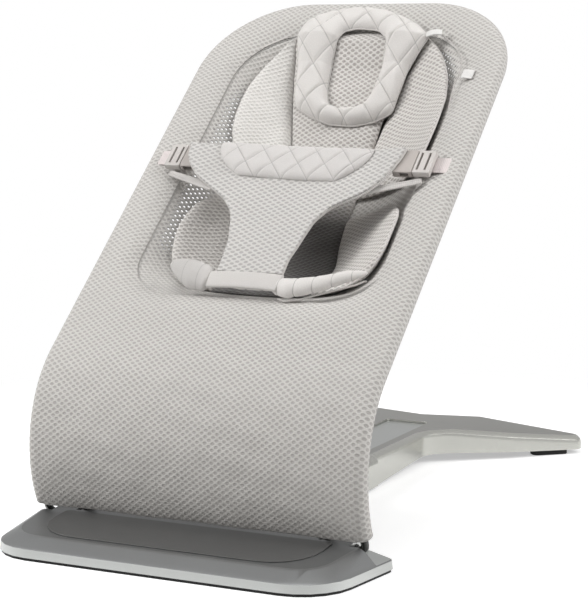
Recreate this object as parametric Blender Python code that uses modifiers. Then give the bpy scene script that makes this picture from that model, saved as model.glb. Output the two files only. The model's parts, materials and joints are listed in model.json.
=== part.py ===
"""Baby bouncer.

A front plate and a swept rear leg, joined by a hollow spine, carry a sprung seat frame.
The frame's steel rods turn in the front plate, and a wire strut with a sliding shoe props
it from the spine. A mesh cover, a mesh seat, a newborn insert and a harness with two
side-release buckles hang on the frame. Metres, +Z up, the front towards -Y.
"""
import math

import bmesh
import bpy
from mathutils import Matrix, Vector

# Clearance between two pieces that touch
GAP = 0.0003

# Front plate
LENGTH = 0.813
FRONT_Y = -LENGTH / 2
PLATE_HALF_WIDTH = 0.2226
PLATE_NOSE_HALF_WIDTH = 0.2040
PLATE_NOSE_RADIUS = 0.060
PLATE_DEPTH = 0.137
PLATE_WALL = 0.0022
SEAL_HEIGHT = 0.0032
SEAL_WIDTH = 0.0110
RIM_HEIGHT = 0.0125
PLATEAU_INSET = 0.0240
PLATEAU_FRONT_Z = 0.0230
PLATEAU_TILT = math.radians(5.2)
PLATE_REAR_Y = -0.1900
PAN_THICKNESS = 0.0020
INLAY_HALF_WIDTH = 0.1650
INLAY_DEPTH = 0.0780
INLAY_THICKNESS = 0.0008

# Pivot of the seat frame, on the front plate
PIVOT_SETBACK = 0.1226
PIVOT_Y = FRONT_Y + PIVOT_SETBACK
PIVOT_Z = 0.0224
AXLE_RADIUS = 0.0035
AXLE_BLOCK_X = 0.1640
AXLE_BLOCK_WIDTH = 0.0110
POCKET_X = 0.1840
POCKET_LENGTH = 0.0560
BUSH_WALL = 0.0013
BUSH_LENGTH = 0.0115

# Spine and rear leg
SPINE_CEILING_Z = 0.0402
SLEEVE_WALL = 0.0030
SLEEVE_HALF_WIDTH = 0.0545
SLEEVE_FRONT_Y = -0.2310
SLEEVE_REAR_Y = 0.0735
LEG_WALL = 0.0025
LEG_HALF_WIDTH = 0.0515
LEG_ARCH_Z = 0.0115
LEG_FORK_Y = 0.2400
LEG_FORK_RADIUS = 0.0450
LEG_ELBOW_X = 0.1450
LEG_TIP_X = 0.2080
LEG_TIP_Y = 0.4076
LEG_REAR_Y = 0.3590
LEG_FALL_X = 0.0780
LEG_TIP_TOP_Z = 0.0240
LEG_TIP_FOOT_Z = 0.0065
LEG_SHOULDER = 0.0090
RECESS_HALF_WIDTH = 0.0305
RECESS_AHEAD = 0.036718
RECESS_BEHIND = 0.172182
TRACK_LEDGE = 0.0060
TRACK_THICKNESS = 0.0028
SLOT_WIDTH = 0.0090
NOTCH_RADIUS = 0.0065
PAD_LENGTH = 0.0500
PAD_WIDTH = 0.0200

# Recline linkage: arm from the pivot to the strut, strut to the shoe
ARM_LENGTH = 0.2450
STRUT_LENGTH = 0.2135
ARM_X = 0.1500
ARM_RADIUS = 0.0050
ARM_DEPTH = 0.0280
EYE_RADIUS = 0.0078
STRUT_X = 0.1630
STRUT_RADIUS = 0.0045
STRUT_EYE_WIDTH = 0.0080
STRUT_NECK = 0.1070
STRUT_NECK_X = 0.1250
TRACK_HEIGHT = 0.0525
SHOE_HALF_WIDTH = 0.0290
SHOE_LENGTH = 0.0400
SHOE_TOP_Z = 0.0625
FOOT_PIN_RADIUS = 0.0030
FOOT_EYE_WIDTH = 0.0060
FOOT_EYE_RADIUS = 0.0065
FOLD_TRAVEL = 0.2061
BUTTON_LENGTH = 0.0150
BUTTON_WIDTH = 0.0240
BUTTON_DEPTH = 0.0055
BUTTON_PROUD = 0.0030

# Seat frame. A seat point is (x, s, d): s runs up the seat from the knee, d out of its face
SEAT_ANGLE = math.radians(41.74)
KNEE_RADIUS = 0.1397
KNEE_SWEEP = math.radians(82.0)
HEM_SWEEP = math.radians(73.7)
FRAME_LENGTH = 0.5825
FRAME_HALF_WIDTH = 0.1965
FRAME_CORNER = 0.1160
TUBE_RADIUS = 0.0060
ROD_RADIUS = 0.0045
ROD_PLUG = 0.0300
ROD_BEND = 0.0100
ROD_END_X = 0.1755
TUBE_SIDES = 10

# Cover and mesh seat
FABRIC = 0.0022
SHEET_D = 0.0066
COVER_BORE = (TUBE_RADIUS + GAP) / math.cos(math.pi / TUBE_SIDES)
OPENING_HALF_WIDTH = 0.1550
OPENING_LOW = 0.0950
OPENING_TOP_MARGIN = 0.0425
OPENING_HIGH = FRAME_LENGTH - OPENING_TOP_MARGIN
OPENING_LOW_RADIUS = 0.0550
OPENING_HIGH_RADIUS = 0.0850
PIPING_RADIUS = 0.0011
SEAM_ALLOWANCE = 0.0150
WELL_DEPTH = 0.0760
WELL_MESH = 0.0016
WELL_DEEPEST = 0.27
WELL_ROWS = 18
WELL_COLUMNS = (0.0, 0.13, 0.26, 0.38, 0.54, 0.70, 0.85, 1.0)
WELL_HEM_GAP = 0.0010

# Newborn insert
INSERT_GAP = 0.0010
BACK_THICKNESS = 0.0080
WING_THICKNESS = 0.0190
WING_CLEARANCE = 0.0010
ROLL_RADIUS = 0.0088
ROLL_S = 0.1130
ROLL_BEND = 0.15
ROLL_LEFT_X = -0.1080
ROLL_RIGHT_X = 0.1240
PILLOW_CENTRE = OPENING_HIGH - 0.0445
PILLOW_HALF_WIDTH = 0.0785
PILLOW_HALF_LENGTH = 0.0785
PILLOW_TAPER = 0.12
HOLE_CENTRE = OPENING_HIGH - 0.0510
HOLE_HALF_WIDTH = 0.0345
HOLE_HALF_LENGTH = 0.0505
HOLE_TAPER = 0.08
PILLOW_THICKNESS = 0.0130
# Lines of (s, value): the pillow's from the opening's top, the wings' for an opening of the drawn run
DRAWN_RUN = 0.4450
PILLOW_LINE = ((-0.210, -0.0665), (-0.140, -0.0440), (-0.050, -0.0125), (-0.018, 0.0091), (0.060, 0.0091))
CREASE_LINE = ((0.300, 0.360), (0.385, 0.370), (0.433, 0.420), (0.470, 0.460), (0.505, 0.560), (0.526, 0.680),
               (0.545, 0.710))
WING_EDGE_LINE = ((0.300, 0.840), (0.430, 0.870), (0.456, 0.860), (0.500, 0.820), (0.539, 0.780))

# Harness and buckles
PANEL_D = 0.0106
PANEL_THICKNESS = 0.0024
PANEL_LIFT = 0.0082
PANEL_LIFT_X = 0.1200
HARNESS_EDGE = ((0.1215, 0.0405), (0.1625, 0.0435), (0.1875, 0.0480), (0.2075, 0.0550), (0.2245, 0.0690),
                (0.2375, 0.0840), (0.2505, 0.1010), (0.2665, 0.1180), (0.2875, 0.1280), (0.3195, 0.1340))
WAIST_HALF_WIDTH = 0.1005
WAIST_LOW = 0.2660
WAIST_HIGH = 0.3175
WAIST_DRAW = 0.36
WAIST_THICKNESS = 0.0100
CROTCH_LOW = 0.0985
CROTCH_THICKNESS = 0.0040
STRAP_START_X = 0.0930
STRAP_END_X = 0.1640
STRAP_START_S = 0.2520
STRAP_END_S = 0.2770
STRAP_LIFT = 0.0040
STRAP_HALF_WIDTH = 0.0035
STRAP_THICKNESS = 0.0014
BUCKLE_S = 0.3000
BUCKLE_HALF_HEIGHT = 0.0180
BUCKLE_D = 0.0100
BUCKLE_TOP_D = 0.0195
FEMALE_X = 0.1270
FEMALE_LENGTH = 0.0240
BUCKLE_WALL = 0.0018
LOCK_LENGTH = 0.0210
LOCK_SLOT = 0.0028
TONGUE_HALF_HEIGHT = 0.0040
PRONG_HEIGHT = 0.0050
PRONG_INSET = 0.0045
PRONG_TIP_GAP = 0.0030
WEBBING_HALF_HEIGHT = 0.0125
WEBBING_THICKNESS = 0.0014
WEBBING_END_X = 0.1920

# Points that follow from the sizes above
KNEE_END = Vector((0.0, -KNEE_RADIUS * math.sin(KNEE_SWEEP), KNEE_RADIUS * (math.cos(KNEE_SWEEP) - 1)))
PIVOT = Vector((0.0, PIVOT_Y, PIVOT_Z))
SPINE_FOOT_Z = SEAL_HEIGHT + GAP
ARM_RISE = -KNEE_END.z - ARM_DEPTH
ARM_ANGLE = SEAT_ANGLE + math.asin(ARM_RISE / ARM_LENGTH)
STRUT_TOP = PIVOT + ARM_LENGTH * Vector((0.0, math.cos(ARM_ANGLE), math.sin(ARM_ANGLE)))
STRUT_ANGLE = math.asin((STRUT_TOP.z - TRACK_HEIGHT) / STRUT_LENGTH)
STRUT_FOOT = STRUT_TOP + STRUT_LENGTH * Vector((0.0, math.cos(STRUT_ANGLE), -math.sin(STRUT_ANGLE)))
TRACK_Z = SPINE_CEILING_Z - GAP
RECESS_FRONT_Y = STRUT_FOOT.y - RECESS_AHEAD
RECESS_REAR_Y = STRUT_FOOT.y + FOLD_TRAVEL + RECESS_BEHIND
PLATEAU_FRONT_Y = FRONT_Y + PLATEAU_INSET
OPENING_LOW_EDGE = OPENING_LOW - SEAM_ALLOWANCE
OPENING_HIGH_EDGE = OPENING_HIGH + SEAM_ALLOWANCE
WELL_HALF_WIDTH = OPENING_HALF_WIDTH + SEAM_ALLOWANCE
WELL_RIM_D = SHEET_D - GAP
SHEET_TOP_D = SHEET_D + FABRIC

COLOURS = {
    "silver": ((0.62, 0.63, 0.62), 0.35, 0.85),
    "dark_silver": ((0.20, 0.20, 0.20), 0.40, 0.60),
    "black": ((0.03, 0.03, 0.03), 0.45, 0.30),
    "rubber": ((0.03, 0.03, 0.03), 0.85, 0.0),
    "plastic": ((0.55, 0.52, 0.50), 0.45, 0.0),
    "mesh_fabric": ((0.52, 0.50, 0.48), 0.90, 0.0),
    "insert_fabric": ((0.58, 0.56, 0.54), 0.90, 0.0),
    "cream": ((0.70, 0.67, 0.65), 0.75, 0.0),
    "webbing": ((0.66, 0.60, 0.58), 0.80, 0.0),
    "steel": ((0.45, 0.45, 0.45), 0.35, 1.0),
}


def clear_scene():
    for item in list(bpy.data.objects):
        bpy.data.objects.remove(item, do_unlink=True)


clear_scene()
PARTS = bpy.data.collections.new("baby_bouncer")
CUTTERS = bpy.data.collections.new("cutters")
bpy.context.scene.collection.children.link(PARTS)
bpy.context.scene.collection.children.link(CUTTERS)
MATERIALS = {}


def material(name):
    if name not in MATERIALS:
        colour, roughness, metallic = COLOURS[name]
        made = bpy.data.materials.new(name)
        made.use_nodes = True
        shader = made.node_tree.nodes["Principled BSDF"]
        shader.inputs["Base Color"].default_value = (*colour, 1.0)
        shader.inputs["Roughness"].default_value = roughness
        shader.inputs["Metallic"].default_value = metallic
        made.diffuse_color = (*colour, 1.0)
        MATERIALS[name] = made
    return MATERIALS[name]


def pivot(name, location, angle=0.0, parent=None):
    """An empty on a joint's axis, turned about X."""
    empty = bpy.data.objects.new(name, None)
    bpy.context.scene.collection.objects.link(empty)
    empty.parent = parent
    empty.location = location
    empty.rotation_euler = (angle, 0.0, 0.0)
    return empty


SEAT_PIVOT = pivot("seat_pivot", PIVOT, SEAT_ANGLE)
ARM_PIVOT = pivot("arm_pivot", PIVOT)
STRUT_PIVOT = pivot("strut_pivot", STRUT_TOP - PIVOT, 0.0, ARM_PIVOT)
SHOE_PIVOT = pivot("shoe_pivot", STRUT_FOOT - STRUT_TOP, 0.0, STRUT_PIVOT)

# Where each body's meshes have their zero, seen from the body's empty
ORIGINS = {
    None: Vector((0.0, 0.0, 0.0)),
    SEAT_PIVOT: -KNEE_END,
    ARM_PIVOT: Vector((0.0, 0.0, 0.0)),
    STRUT_PIVOT: Vector((0.0, 0.0, 0.0)),
    SHOE_PIVOT: Vector((0.0, 0.0, 0.0)),
}


def add(name, data, look, parent=None):
    """Puts a piece in the object's collection, under its body's empty."""
    item = bpy.data.objects.new(name, data)
    PARTS.objects.link(item)
    item.parent = parent
    item.location = ORIGINS[parent]
    data.materials.clear()
    data.materials.append(material(look))
    return item


def as_cutter(item):
    for holder in list(item.users_collection):
        holder.objects.unlink(item)
    CUTTERS.objects.link(item)
    item.hide_render = True
    item.display_type = "WIRE"
    return item


def boolean(item, other, operation):
    as_cutter(other)
    change = item.modifiers.new(operation.lower(), "BOOLEAN")
    change.operation = operation
    change.object = other
    change.solver = "EXACT"
    return item


def cut(item, *cutters):
    for other in cutters:
        boolean(item, other, "DIFFERENCE")
    return item


def join(item, *others):
    for other in others:
        boolean(item, other, "UNION")
    return item


def smooth(mesh, degrees=35.0):
    mesh.shade_smooth()
    mesh.set_sharp_from_angle(angle=math.radians(degrees))


def mesh_piece(name, bm, look, parent=None, open_below=False):
    """Makes a piece with its faces outwards. A shell that is open below has its highest face upwards."""
    bmesh.ops.recalc_face_normals(bm, faces=bm.faces)
    bm.normal_update()
    if open_below:
        inverted = max(bm.faces, key=lambda face: face.calc_center_median().z).normal.z < 0
    else:
        inverted = bm.calc_volume(signed=True) < 0
    if inverted:
        bmesh.ops.reverse_faces(bm, faces=bm.faces)
    mesh = bpy.data.meshes.new(name)
    bm.to_mesh(mesh)
    bm.free()
    smooth(mesh)
    return add(name, mesh, look, parent)


def box(name, low, high, look, parent=None, round_by=0.0):
    """A block between two opposite corners."""
    low = Vector(low)
    high = Vector(high)
    bm = bmesh.new()
    bmesh.ops.create_cube(bm, size=1.0)
    for vertex in bm.verts:
        vertex.co = Vector([low[i] + (vertex.co[i] + 0.5) * (high[i] - low[i]) for i in range(3)])
    piece = mesh_piece(name, bm, look, parent)
    if round_by > 0.0:
        edge = piece.modifiers.new("round", "BEVEL")
        edge.width = round_by
        edge.segments = 2
    return piece


def rod(name, start, end, radius, look, parent=None, sides=16, bore=0.0):
    """A round bar, or a ring when it has a bore, between two points."""
    start = Vector(start)
    end = Vector(end)
    axis = end - start
    bm = bmesh.new()
    turn = axis.to_track_quat("Z", "Y").to_matrix().to_4x4()
    place = Matrix.Translation((start + end) / 2) @ turn
    bmesh.ops.create_cone(bm, cap_ends=True, segments=sides, radius1=radius, radius2=radius,
                          depth=axis.length, matrix=place)
    piece = mesh_piece(name, bm, look, parent)
    if bore > 0.0:
        reach = axis.normalized() * GAP
        cut(piece, rod(name + "_bore", start - reach, end + reach, bore, look, parent, sides))
    return piece


def arc(centre, radius, start, end, steps):
    """Points of an arc in a plane, both ends included."""
    points = []
    for step in range(steps + 1):
        angle = start + (end - start) * step / steps
        points.append((centre[0] + radius * math.cos(angle), centre[1] + radius * math.sin(angle)))
    return points


def rounded(corners, steps=5):
    """An outline whose corners (x, y, radius) are rounded."""
    outline = []
    count = len(corners)
    for index, (x, y, radius) in enumerate(corners):
        here = Vector((x, y))
        before = (Vector(corners[index - 1][:2]) - here).normalized()
        after = (Vector(corners[(index + 1) % count][:2]) - here).normalized()
        half = before.angle(after) / 2
        if radius <= 0.0 or half > math.pi / 2 - 0.01:
            outline.append((x, y))
            continue
        reach = radius / math.tan(half)
        first = here + before * reach
        middle = here + (before + after).normalized() * radius / math.sin(half)
        start = math.atan2(first.y - middle.y, first.x - middle.x)
        last = here + after * reach
        turn = math.atan2(last.y - middle.y, last.x - middle.x) - start
        turn = (turn + math.pi) % (2 * math.pi) - math.pi
        outline.extend(arc(middle, radius, start, start + turn, steps))
    return outline


def moved_in(corners, amount):
    """The same outline moved inwards, corner by corner. Corners run counter-clockwise."""
    result = []
    count = len(corners)
    for index, (x, y, radius) in enumerate(corners):
        here = Vector((x, y))
        before = (here - Vector(corners[index - 1][:2])).normalized()
        after = (Vector(corners[(index + 1) % count][:2]) - here).normalized()
        inward_before = Vector((-before.y, before.x))
        inward_after = Vector((-after.y, after.x))
        middle = (inward_before + inward_after).normalized()
        reach = amount / middle.dot(inward_before)
        turn = before.x * after.y - before.y * after.x
        change = -amount if turn > 0 else amount
        result.append((x + middle.x * reach, y + middle.y * reach, max(radius + change, 0.001)))
    return result


def mirrored(half):
    """Both halves of an outline given from the front centre round to the rear centre at +X."""
    other = [(-x, y, radius) for x, y, radius in reversed(half) if x > 0.0]
    return list(half) + other


def plate(name, outline, low, high, look, holes=(), parent=None):
    """A flat plate with an outline, and holes, in the XY plane."""
    curve = bpy.data.curves.new(name, "CURVE")
    curve.dimensions = "2D"
    curve.fill_mode = "BOTH"
    curve.extrude = (high - low) / 2
    for loop in (outline, *holes):
        spline = curve.splines.new("POLY")
        spline.points.add(len(loop) - 1)
        for point, place in zip(spline.points, loop):
            point.co = (place[0], place[1], 0.0, 1.0)
        spline.use_cyclic_u = True
    piece = add(name, curve, look, parent)
    piece.location.z += (low + high) / 2
    return piece


def solid_mesh(piece):
    """Turns a curve piece into a mesh piece with its caps welded."""
    bpy.context.view_layer.update()
    graph = bpy.context.evaluated_depsgraph_get()
    mesh = bpy.data.meshes.new_from_object(piece.evaluated_get(graph))
    bm = bmesh.new()
    bm.from_mesh(mesh)
    bmesh.ops.remove_doubles(bm, verts=bm.verts, dist=0.00001)
    bmesh.ops.recalc_face_normals(bm, faces=bm.faces)
    bm.to_mesh(mesh)
    bm.free()
    name = piece.name
    parent = piece.parent
    place = piece.location.copy()
    look = piece.data.materials[0].name
    bpy.data.objects.remove(piece, do_unlink=True)
    item = add(name, mesh, look, parent)
    item.location = place
    return item


def wire(name, points, radius, look, parent=None, sides=TUBE_SIDES, closed=False):
    """A round wire or tube along points."""
    curve = bpy.data.curves.new(name, "CURVE")
    curve.dimensions = "3D"
    curve.bevel_depth = radius
    curve.bevel_resolution = (sides - 4) // 2
    curve.use_fill_caps = not closed
    spline = curve.splines.new("POLY")
    spline.points.add(len(points) - 1)
    for point, place in zip(spline.points, points):
        point.co = (*place, 1.0)
    spline.use_cyclic_u = closed
    return add(name, curve, look, parent)


def loft(name, rings, look, parent=None, closed=False, caps=(True, True)):
    """A skin over rings of as many points each: an open run with caps, or a closed ring."""
    bm = bmesh.new()
    rows = [[bm.verts.new(point) for point in ring] for ring in rings]
    pairs = list(zip(rows, rows[1:]))
    if closed:
        pairs.append((rows[-1], rows[0]))
    for low, high in pairs:
        for index in range(len(low)):
            nxt = (index + 1) % len(low)
            bm.faces.new((low[index], low[nxt], high[nxt], high[index]))
    if not closed and caps[0]:
        bm.faces.new(list(reversed(rows[0])))
    if not closed and caps[1]:
        bm.faces.new(rows[-1])
    return mesh_piece(name, bm, look, parent)


def slab(name, rows, look, parent=None):
    """A closed slab over a grid. Each node is a pair: its lower and its upper point."""
    bm = bmesh.new()
    low = [[bm.verts.new(node[0]) for node in row] for row in rows]
    high = [[bm.verts.new(node[1]) for node in row] for row in rows]
    last = len(rows) - 1
    side = len(rows[0]) - 1
    for j in range(last):
        for i in range(side):
            for grid in (low, high):
                a, b, c, d = grid[j][i], grid[j][i + 1], grid[j + 1][i + 1], grid[j + 1][i]
                bm.faces.new((a, b, c))
                bm.faces.new((a, c, d))
    rim = [(0, i) for i in range(side)] + [(j, side) for j in range(last)]
    rim += [(last, side - i) for i in range(side)] + [(last - j, 0) for j in range(last)]
    for index, (j, i) in enumerate(rim):
        k, m = rim[(index + 1) % len(rim)]
        bm.faces.new((low[j][i], low[k][m], high[k][m], high[j][i]))
    return mesh_piece(name, bm, look, parent)


def between(pairs, place):
    """Straight interpolation in a short list of (place, value)."""
    if place <= pairs[0][0]:
        return pairs[0][1]
    for (a, first), (b, second) in zip(pairs, pairs[1:]):
        if place <= b:
            return first + (second - first) * (place - a) / (b - a)
    return pairs[-1][1]


def both_sides(make):
    """Makes the left (-X) and the right (+X) copy of a piece."""
    for side, sign in (("left", -1.0), ("right", 1.0)):
        make(side, sign)


# Front plate

def plate_corners():
    """The plate's outline at the floor: a broad nose, sides that flare, and a swept rear."""
    wing_y = FRONT_Y + PLATE_DEPTH
    half = [
        (PLATE_NOSE_HALF_WIDTH, FRONT_Y, PLATE_NOSE_RADIUS),
        (PLATE_HALF_WIDTH, wing_y, 0.012),
        (POCKET_X, wing_y + 0.024, 0.030),
        (SLEEVE_HALF_WIDTH + 0.030, PLATE_REAR_Y - 0.012, 0.040),
        (SLEEVE_HALF_WIDTH + 0.006, PLATE_REAR_Y, 0.010),
    ]
    return mirrored(half)


def plateau_z(y):
    return PLATEAU_FRONT_Z + (y - PLATEAU_FRONT_Y) * math.tan(PLATEAU_TILT)


def plate_body(name, inset, drop):
    """The plate's solid, or its inside when it is moved in and down by the wall."""
    foot = SEAL_HEIGHT + GAP if inset == 0.0 else SEAL_HEIGHT - PLATE_WALL
    levels = (
        (0.0, foot, 0.0),
        (0.0012, RIM_HEIGHT - drop, 0.0),
        (0.0045, RIM_HEIGHT + 0.0022 - drop, 0.0),
        (PLATEAU_INSET - 0.0040, -0.0014 - drop, 1.0),
        (PLATEAU_INSET, -drop, 1.0),
    )
    rings = []
    for amount, height, on_plateau in levels:
        ring = rounded(moved_in(plate_corners(), amount + inset))
        rings.append([(x, y, height + on_plateau * plateau_z(y)) for x, y in ring])
    return loft(name, rings, "silver")


def pocket(name, grow, sign):
    """The low corner behind each wing, where the seat rod comes down."""
    low_x, high_x = sorted((sign * (POCKET_X - grow), sign * (PLATE_HALF_WIDTH + 0.020)))
    start_y = PIVOT_Y - 0.018 - grow
    return box(name, (low_x, start_y, RIM_HEIGHT + 0.0010 - grow),
               (high_x, start_y + POCKET_LENGTH + 2 * grow, 0.060), "silver")


def front_plate():
    body = plate_body("front_plate", 0.0, 0.0)
    inside = plate_body("plate_inside", PLATE_WALL, PLATE_WALL)
    for side, sign in (("left", -1.0), ("right", 1.0)):
        cut(inside, pocket("pocket_skin_" + side, PLATE_WALL, sign))
        cut(body, pocket("pocket_" + side, 0.0, sign))
    cut(body, inside)
    cut(body, box("spine_notch", (-SLEEVE_HALF_WIDTH - GAP, SLEEVE_FRONT_Y - GAP, 0.0),
                  (SLEEVE_HALF_WIDTH + GAP, PLATE_REAR_Y + 0.01, 0.06), "silver"))
    reach = EYE_RADIUS + 0.0010
    for side, sign in (("left", -1.0), ("right", 1.0)):
        cut(body, box("arm_slot_" + side, (sign * ARM_X - 0.0075, PIVOT_Y - reach, 0.012),
                      (sign * ARM_X + 0.0075, PIVOT_Y + 0.0335, 0.060), "silver"))
        hole = (POCKET_X - 0.006, POCKET_X + 0.006)
        radius = ROD_RADIUS + GAP + BUSH_WALL + GAP
        cut(body, rod("bush_hole_" + side, (sign * hole[0], PIVOT_Y, PIVOT_Z),
                      (sign * hole[1], PIVOT_Y, PIVOT_Z), radius, "silver"))
    return body


def plate_inlay():
    """The thin dark panel let on to the plateau."""
    front = PLATEAU_FRONT_Y + 0.0060
    half = [(INLAY_HALF_WIDTH, 0.0, 0.052), (INLAY_HALF_WIDTH, INLAY_DEPTH, 0.006)]
    piece = plate("plate_inlay", rounded(mirrored(half)), 0.0, INLAY_THICKNESS, "dark_silver")
    piece.rotation_euler.x = PLATEAU_TILT
    piece.location = (0.0, front, plateau_z(front) + GAP + INLAY_THICKNESS / 2)


def plate_underside():
    corners = moved_in(plate_corners(), 0.0020)
    inner = moved_in(plate_corners(), 0.0020 + SEAL_WIDTH)
    plate("rubber_seal", rounded(corners), 0.0, SEAL_HEIGHT, "rubber", holes=(rounded(inner),))
    pan = moved_in(plate_corners(), PLATE_WALL + 2 * GAP)
    low = SEAL_HEIGHT + GAP
    piece = solid_mesh(plate("base_pan", rounded(pan), low, low + PAN_THICKNESS, "black"))
    cut(piece, box("pan_notch", (-SLEEVE_HALF_WIDTH - GAP, SLEEVE_FRONT_Y - GAP, 0.0),
                   (SLEEVE_HALF_WIDTH + GAP, 0.0, 0.02), "black"))


def pivot_blocks():
    pan_top = SEAL_HEIGHT + GAP + PAN_THICKNESS

    def make(side, sign):
        half = AXLE_BLOCK_WIDTH / 2
        block = box("axle_block_" + side, (sign * AXLE_BLOCK_X - half, PIVOT_Y - 0.011, pan_top + GAP),
                    (sign * AXLE_BLOCK_X + half, PIVOT_Y + 0.011, PIVOT_Z + AXLE_RADIUS + 0.0018), "black")
        cut(block, rod("block_bore_" + side, (sign * AXLE_BLOCK_X - 0.01, PIVOT_Y, PIVOT_Z),
                       (sign * AXLE_BLOCK_X + 0.01, PIVOT_Y, PIVOT_Z), AXLE_RADIUS + GAP, "black"))
        start = POCKET_X + 0.0015
        rod("rod_bush_" + side, (sign * (start - BUSH_LENGTH), PIVOT_Y, PIVOT_Z),
            (sign * start, PIVOT_Y, PIVOT_Z),
            ROD_RADIUS + GAP + BUSH_WALL, "black", bore=ROD_RADIUS + GAP)

    both_sides(make)


# Spine and rear leg

def channel_ring(half_width, foot, top, shoulder, y):
    """Half-round-shouldered cross-section of the spine, open at the floor."""
    right = arc((half_width - shoulder, top - shoulder), shoulder, 0.0, math.pi / 2, 4)
    left = [(-x, z) for x, z in reversed(right)]
    section = [(half_width, foot)] + right + left + [(-half_width, foot)]
    return [(x, y, z) for x, z in section]


def spine_sleeve():
    top = SPINE_CEILING_Z + SLEEVE_WALL
    nose_top = plateau_z(SLEEVE_FRONT_Y) + 0.0004
    sections = ((SLEEVE_FRONT_Y, nose_top), (SLEEVE_FRONT_Y + 0.045, top), (SLEEVE_REAR_Y, top))
    bm = bmesh.new()
    rows = []
    for y, height in sections:
        ring = channel_ring(SLEEVE_HALF_WIDTH, SPINE_FOOT_Z, height, 0.0120, y)
        rows.append([bm.verts.new(point) for point in ring])
    for low, high in zip(rows, rows[1:]):
        for index in range(len(low) - 1):
            bm.faces.new((low[index], high[index], high[index + 1], low[index + 1]))
    piece = mesh_piece("spine_sleeve", bm, "silver", open_below=True)
    skin = piece.modifiers.new("wall", "SOLIDIFY")
    skin.thickness = SLEEVE_WALL
    skin.offset = -1.0
    skin.use_even_offset = True
    cut(piece, recess("sleeve_recess"))
    return piece


def recess(name):
    outline = rounded([(RECESS_HALF_WIDTH, RECESS_FRONT_Y, 0.006),
                       (RECESS_HALF_WIDTH, RECESS_REAR_Y, 0.006),
                       (-RECESS_HALF_WIDTH, RECESS_REAR_Y, 0.006),
                       (-RECESS_HALF_WIDTH, RECESS_FRONT_Y, 0.006)], 3)
    return solid_mesh(plate(name, outline, SPINE_CEILING_Z - 0.006, 0.070, "silver"))


def leg_corners():
    """The rear leg from above: a straight spine and two arms swept back."""
    half = [
        (LEG_HALF_WIDTH, SLEEVE_REAR_Y + GAP, 0.0),
        (LEG_HALF_WIDTH, LEG_FORK_Y, LEG_FORK_RADIUS),
        (LEG_ELBOW_X, LEG_FORK_Y + 0.0740, 0.1200),
        (LEG_TIP_X + 0.0130, LEG_TIP_Y - 0.0180, 0.0160),
        (LEG_TIP_X, LEG_TIP_Y, 0.0080),
        (0.0, LEG_REAR_Y, 0.0),
    ]
    return mirrored(half)


def leg_top(x):
    """The arms fall away from the spine towards their tips."""
    out = max(abs(x) - LEG_FALL_X, 0.0) / (LEG_TIP_X - LEG_FALL_X)
    top = SPINE_CEILING_Z + LEG_WALL
    return top + (LEG_TIP_TOP_Z - top) * out


def leg_foot(x, y):
    """The underside rises from the sleeve to the arch, and falls again to the tips."""
    out = max(abs(x) - LEG_FALL_X, 0.0) / (LEG_TIP_X - LEG_FALL_X)
    back = min(max((y - SLEEVE_REAR_Y) / 0.13, 0.0), 1.0)
    arch = SPINE_FOOT_Z + (LEG_ARCH_Z - SPINE_FOOT_Z) * back
    return arch + (LEG_TIP_FOOT_Z - LEG_ARCH_Z) * out


def through_fall(outline):
    """Adds the outline's points on the two lines where the arms start to fall."""
    result = []
    for (x0, y0), (x1, y1) in zip(outline, outline[1:] + outline[:1]):
        result.append((x0, y0))
        for fall in (-LEG_FALL_X, LEG_FALL_X):
            if (x0 - fall) * (x1 - fall) < 0:
                result.append((fall, y0 + (y1 - y0) * (fall - x0) / (x1 - x0)))
    return result


def leg_shell(name, inset, drop, front_y):
    """The leg's solid, or its inside when it is moved in and down by the wall."""
    corners = moved_in(leg_corners(), inset)
    rings = []
    for share, below in ((0.0, None), (0.0, 1.0), (0.12, 0.48), (0.50, 0.14), (1.0, 0.0)):
        ring = []
        for x, y in through_fall(rounded(moved_in(corners, LEG_SHOULDER * share), 4)):
            height = leg_foot(x, y) if below is None else leg_top(x) - LEG_SHOULDER * below
            ring.append((x, front_y if y < SLEEVE_REAR_Y + 0.02 else y, height - drop))
        rings.append(ring)
    return split_at_fall(loft(name, rings, "silver"))


def split_at_fall(piece):
    """Splits the broad faces where the arms start to fall, so that each stays flat."""
    bm = bmesh.new()
    bm.from_mesh(piece.data)
    for x in (-LEG_FALL_X, LEG_FALL_X):
        everything = list(bm.verts) + list(bm.edges) + list(bm.faces)
        bmesh.ops.bisect_plane(bm, geom=everything, dist=0.00001, plane_co=(x, 0.0, 0.0),
                               plane_no=(1.0, 0.0, 0.0))
    bm.to_mesh(piece.data)
    bm.free()
    smooth(piece.data)
    return piece


def rear_leg():
    leg = leg_shell("rear_leg", 0.0, 0.0, SLEEVE_REAR_Y + GAP)
    cut(leg, leg_shell("leg_inside", LEG_WALL, LEG_WALL, SLEEVE_REAR_Y - 0.010))
    cut(leg, recess("leg_recess"))
    return leg


def rear_leg_cover():
    """The flat cover that closes the leg from below."""
    rings = []
    for height in (GAP, GAP + PAN_THICKNESS):
        outline = through_fall(rounded(moved_in(leg_corners(), LEG_WALL + 3 * GAP), 4))
        rings.append([(x, y, leg_foot(x, y) + height) for x, y in outline])
    split_at_fall(loft("rear_leg_cover", rings, "black"))


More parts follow.
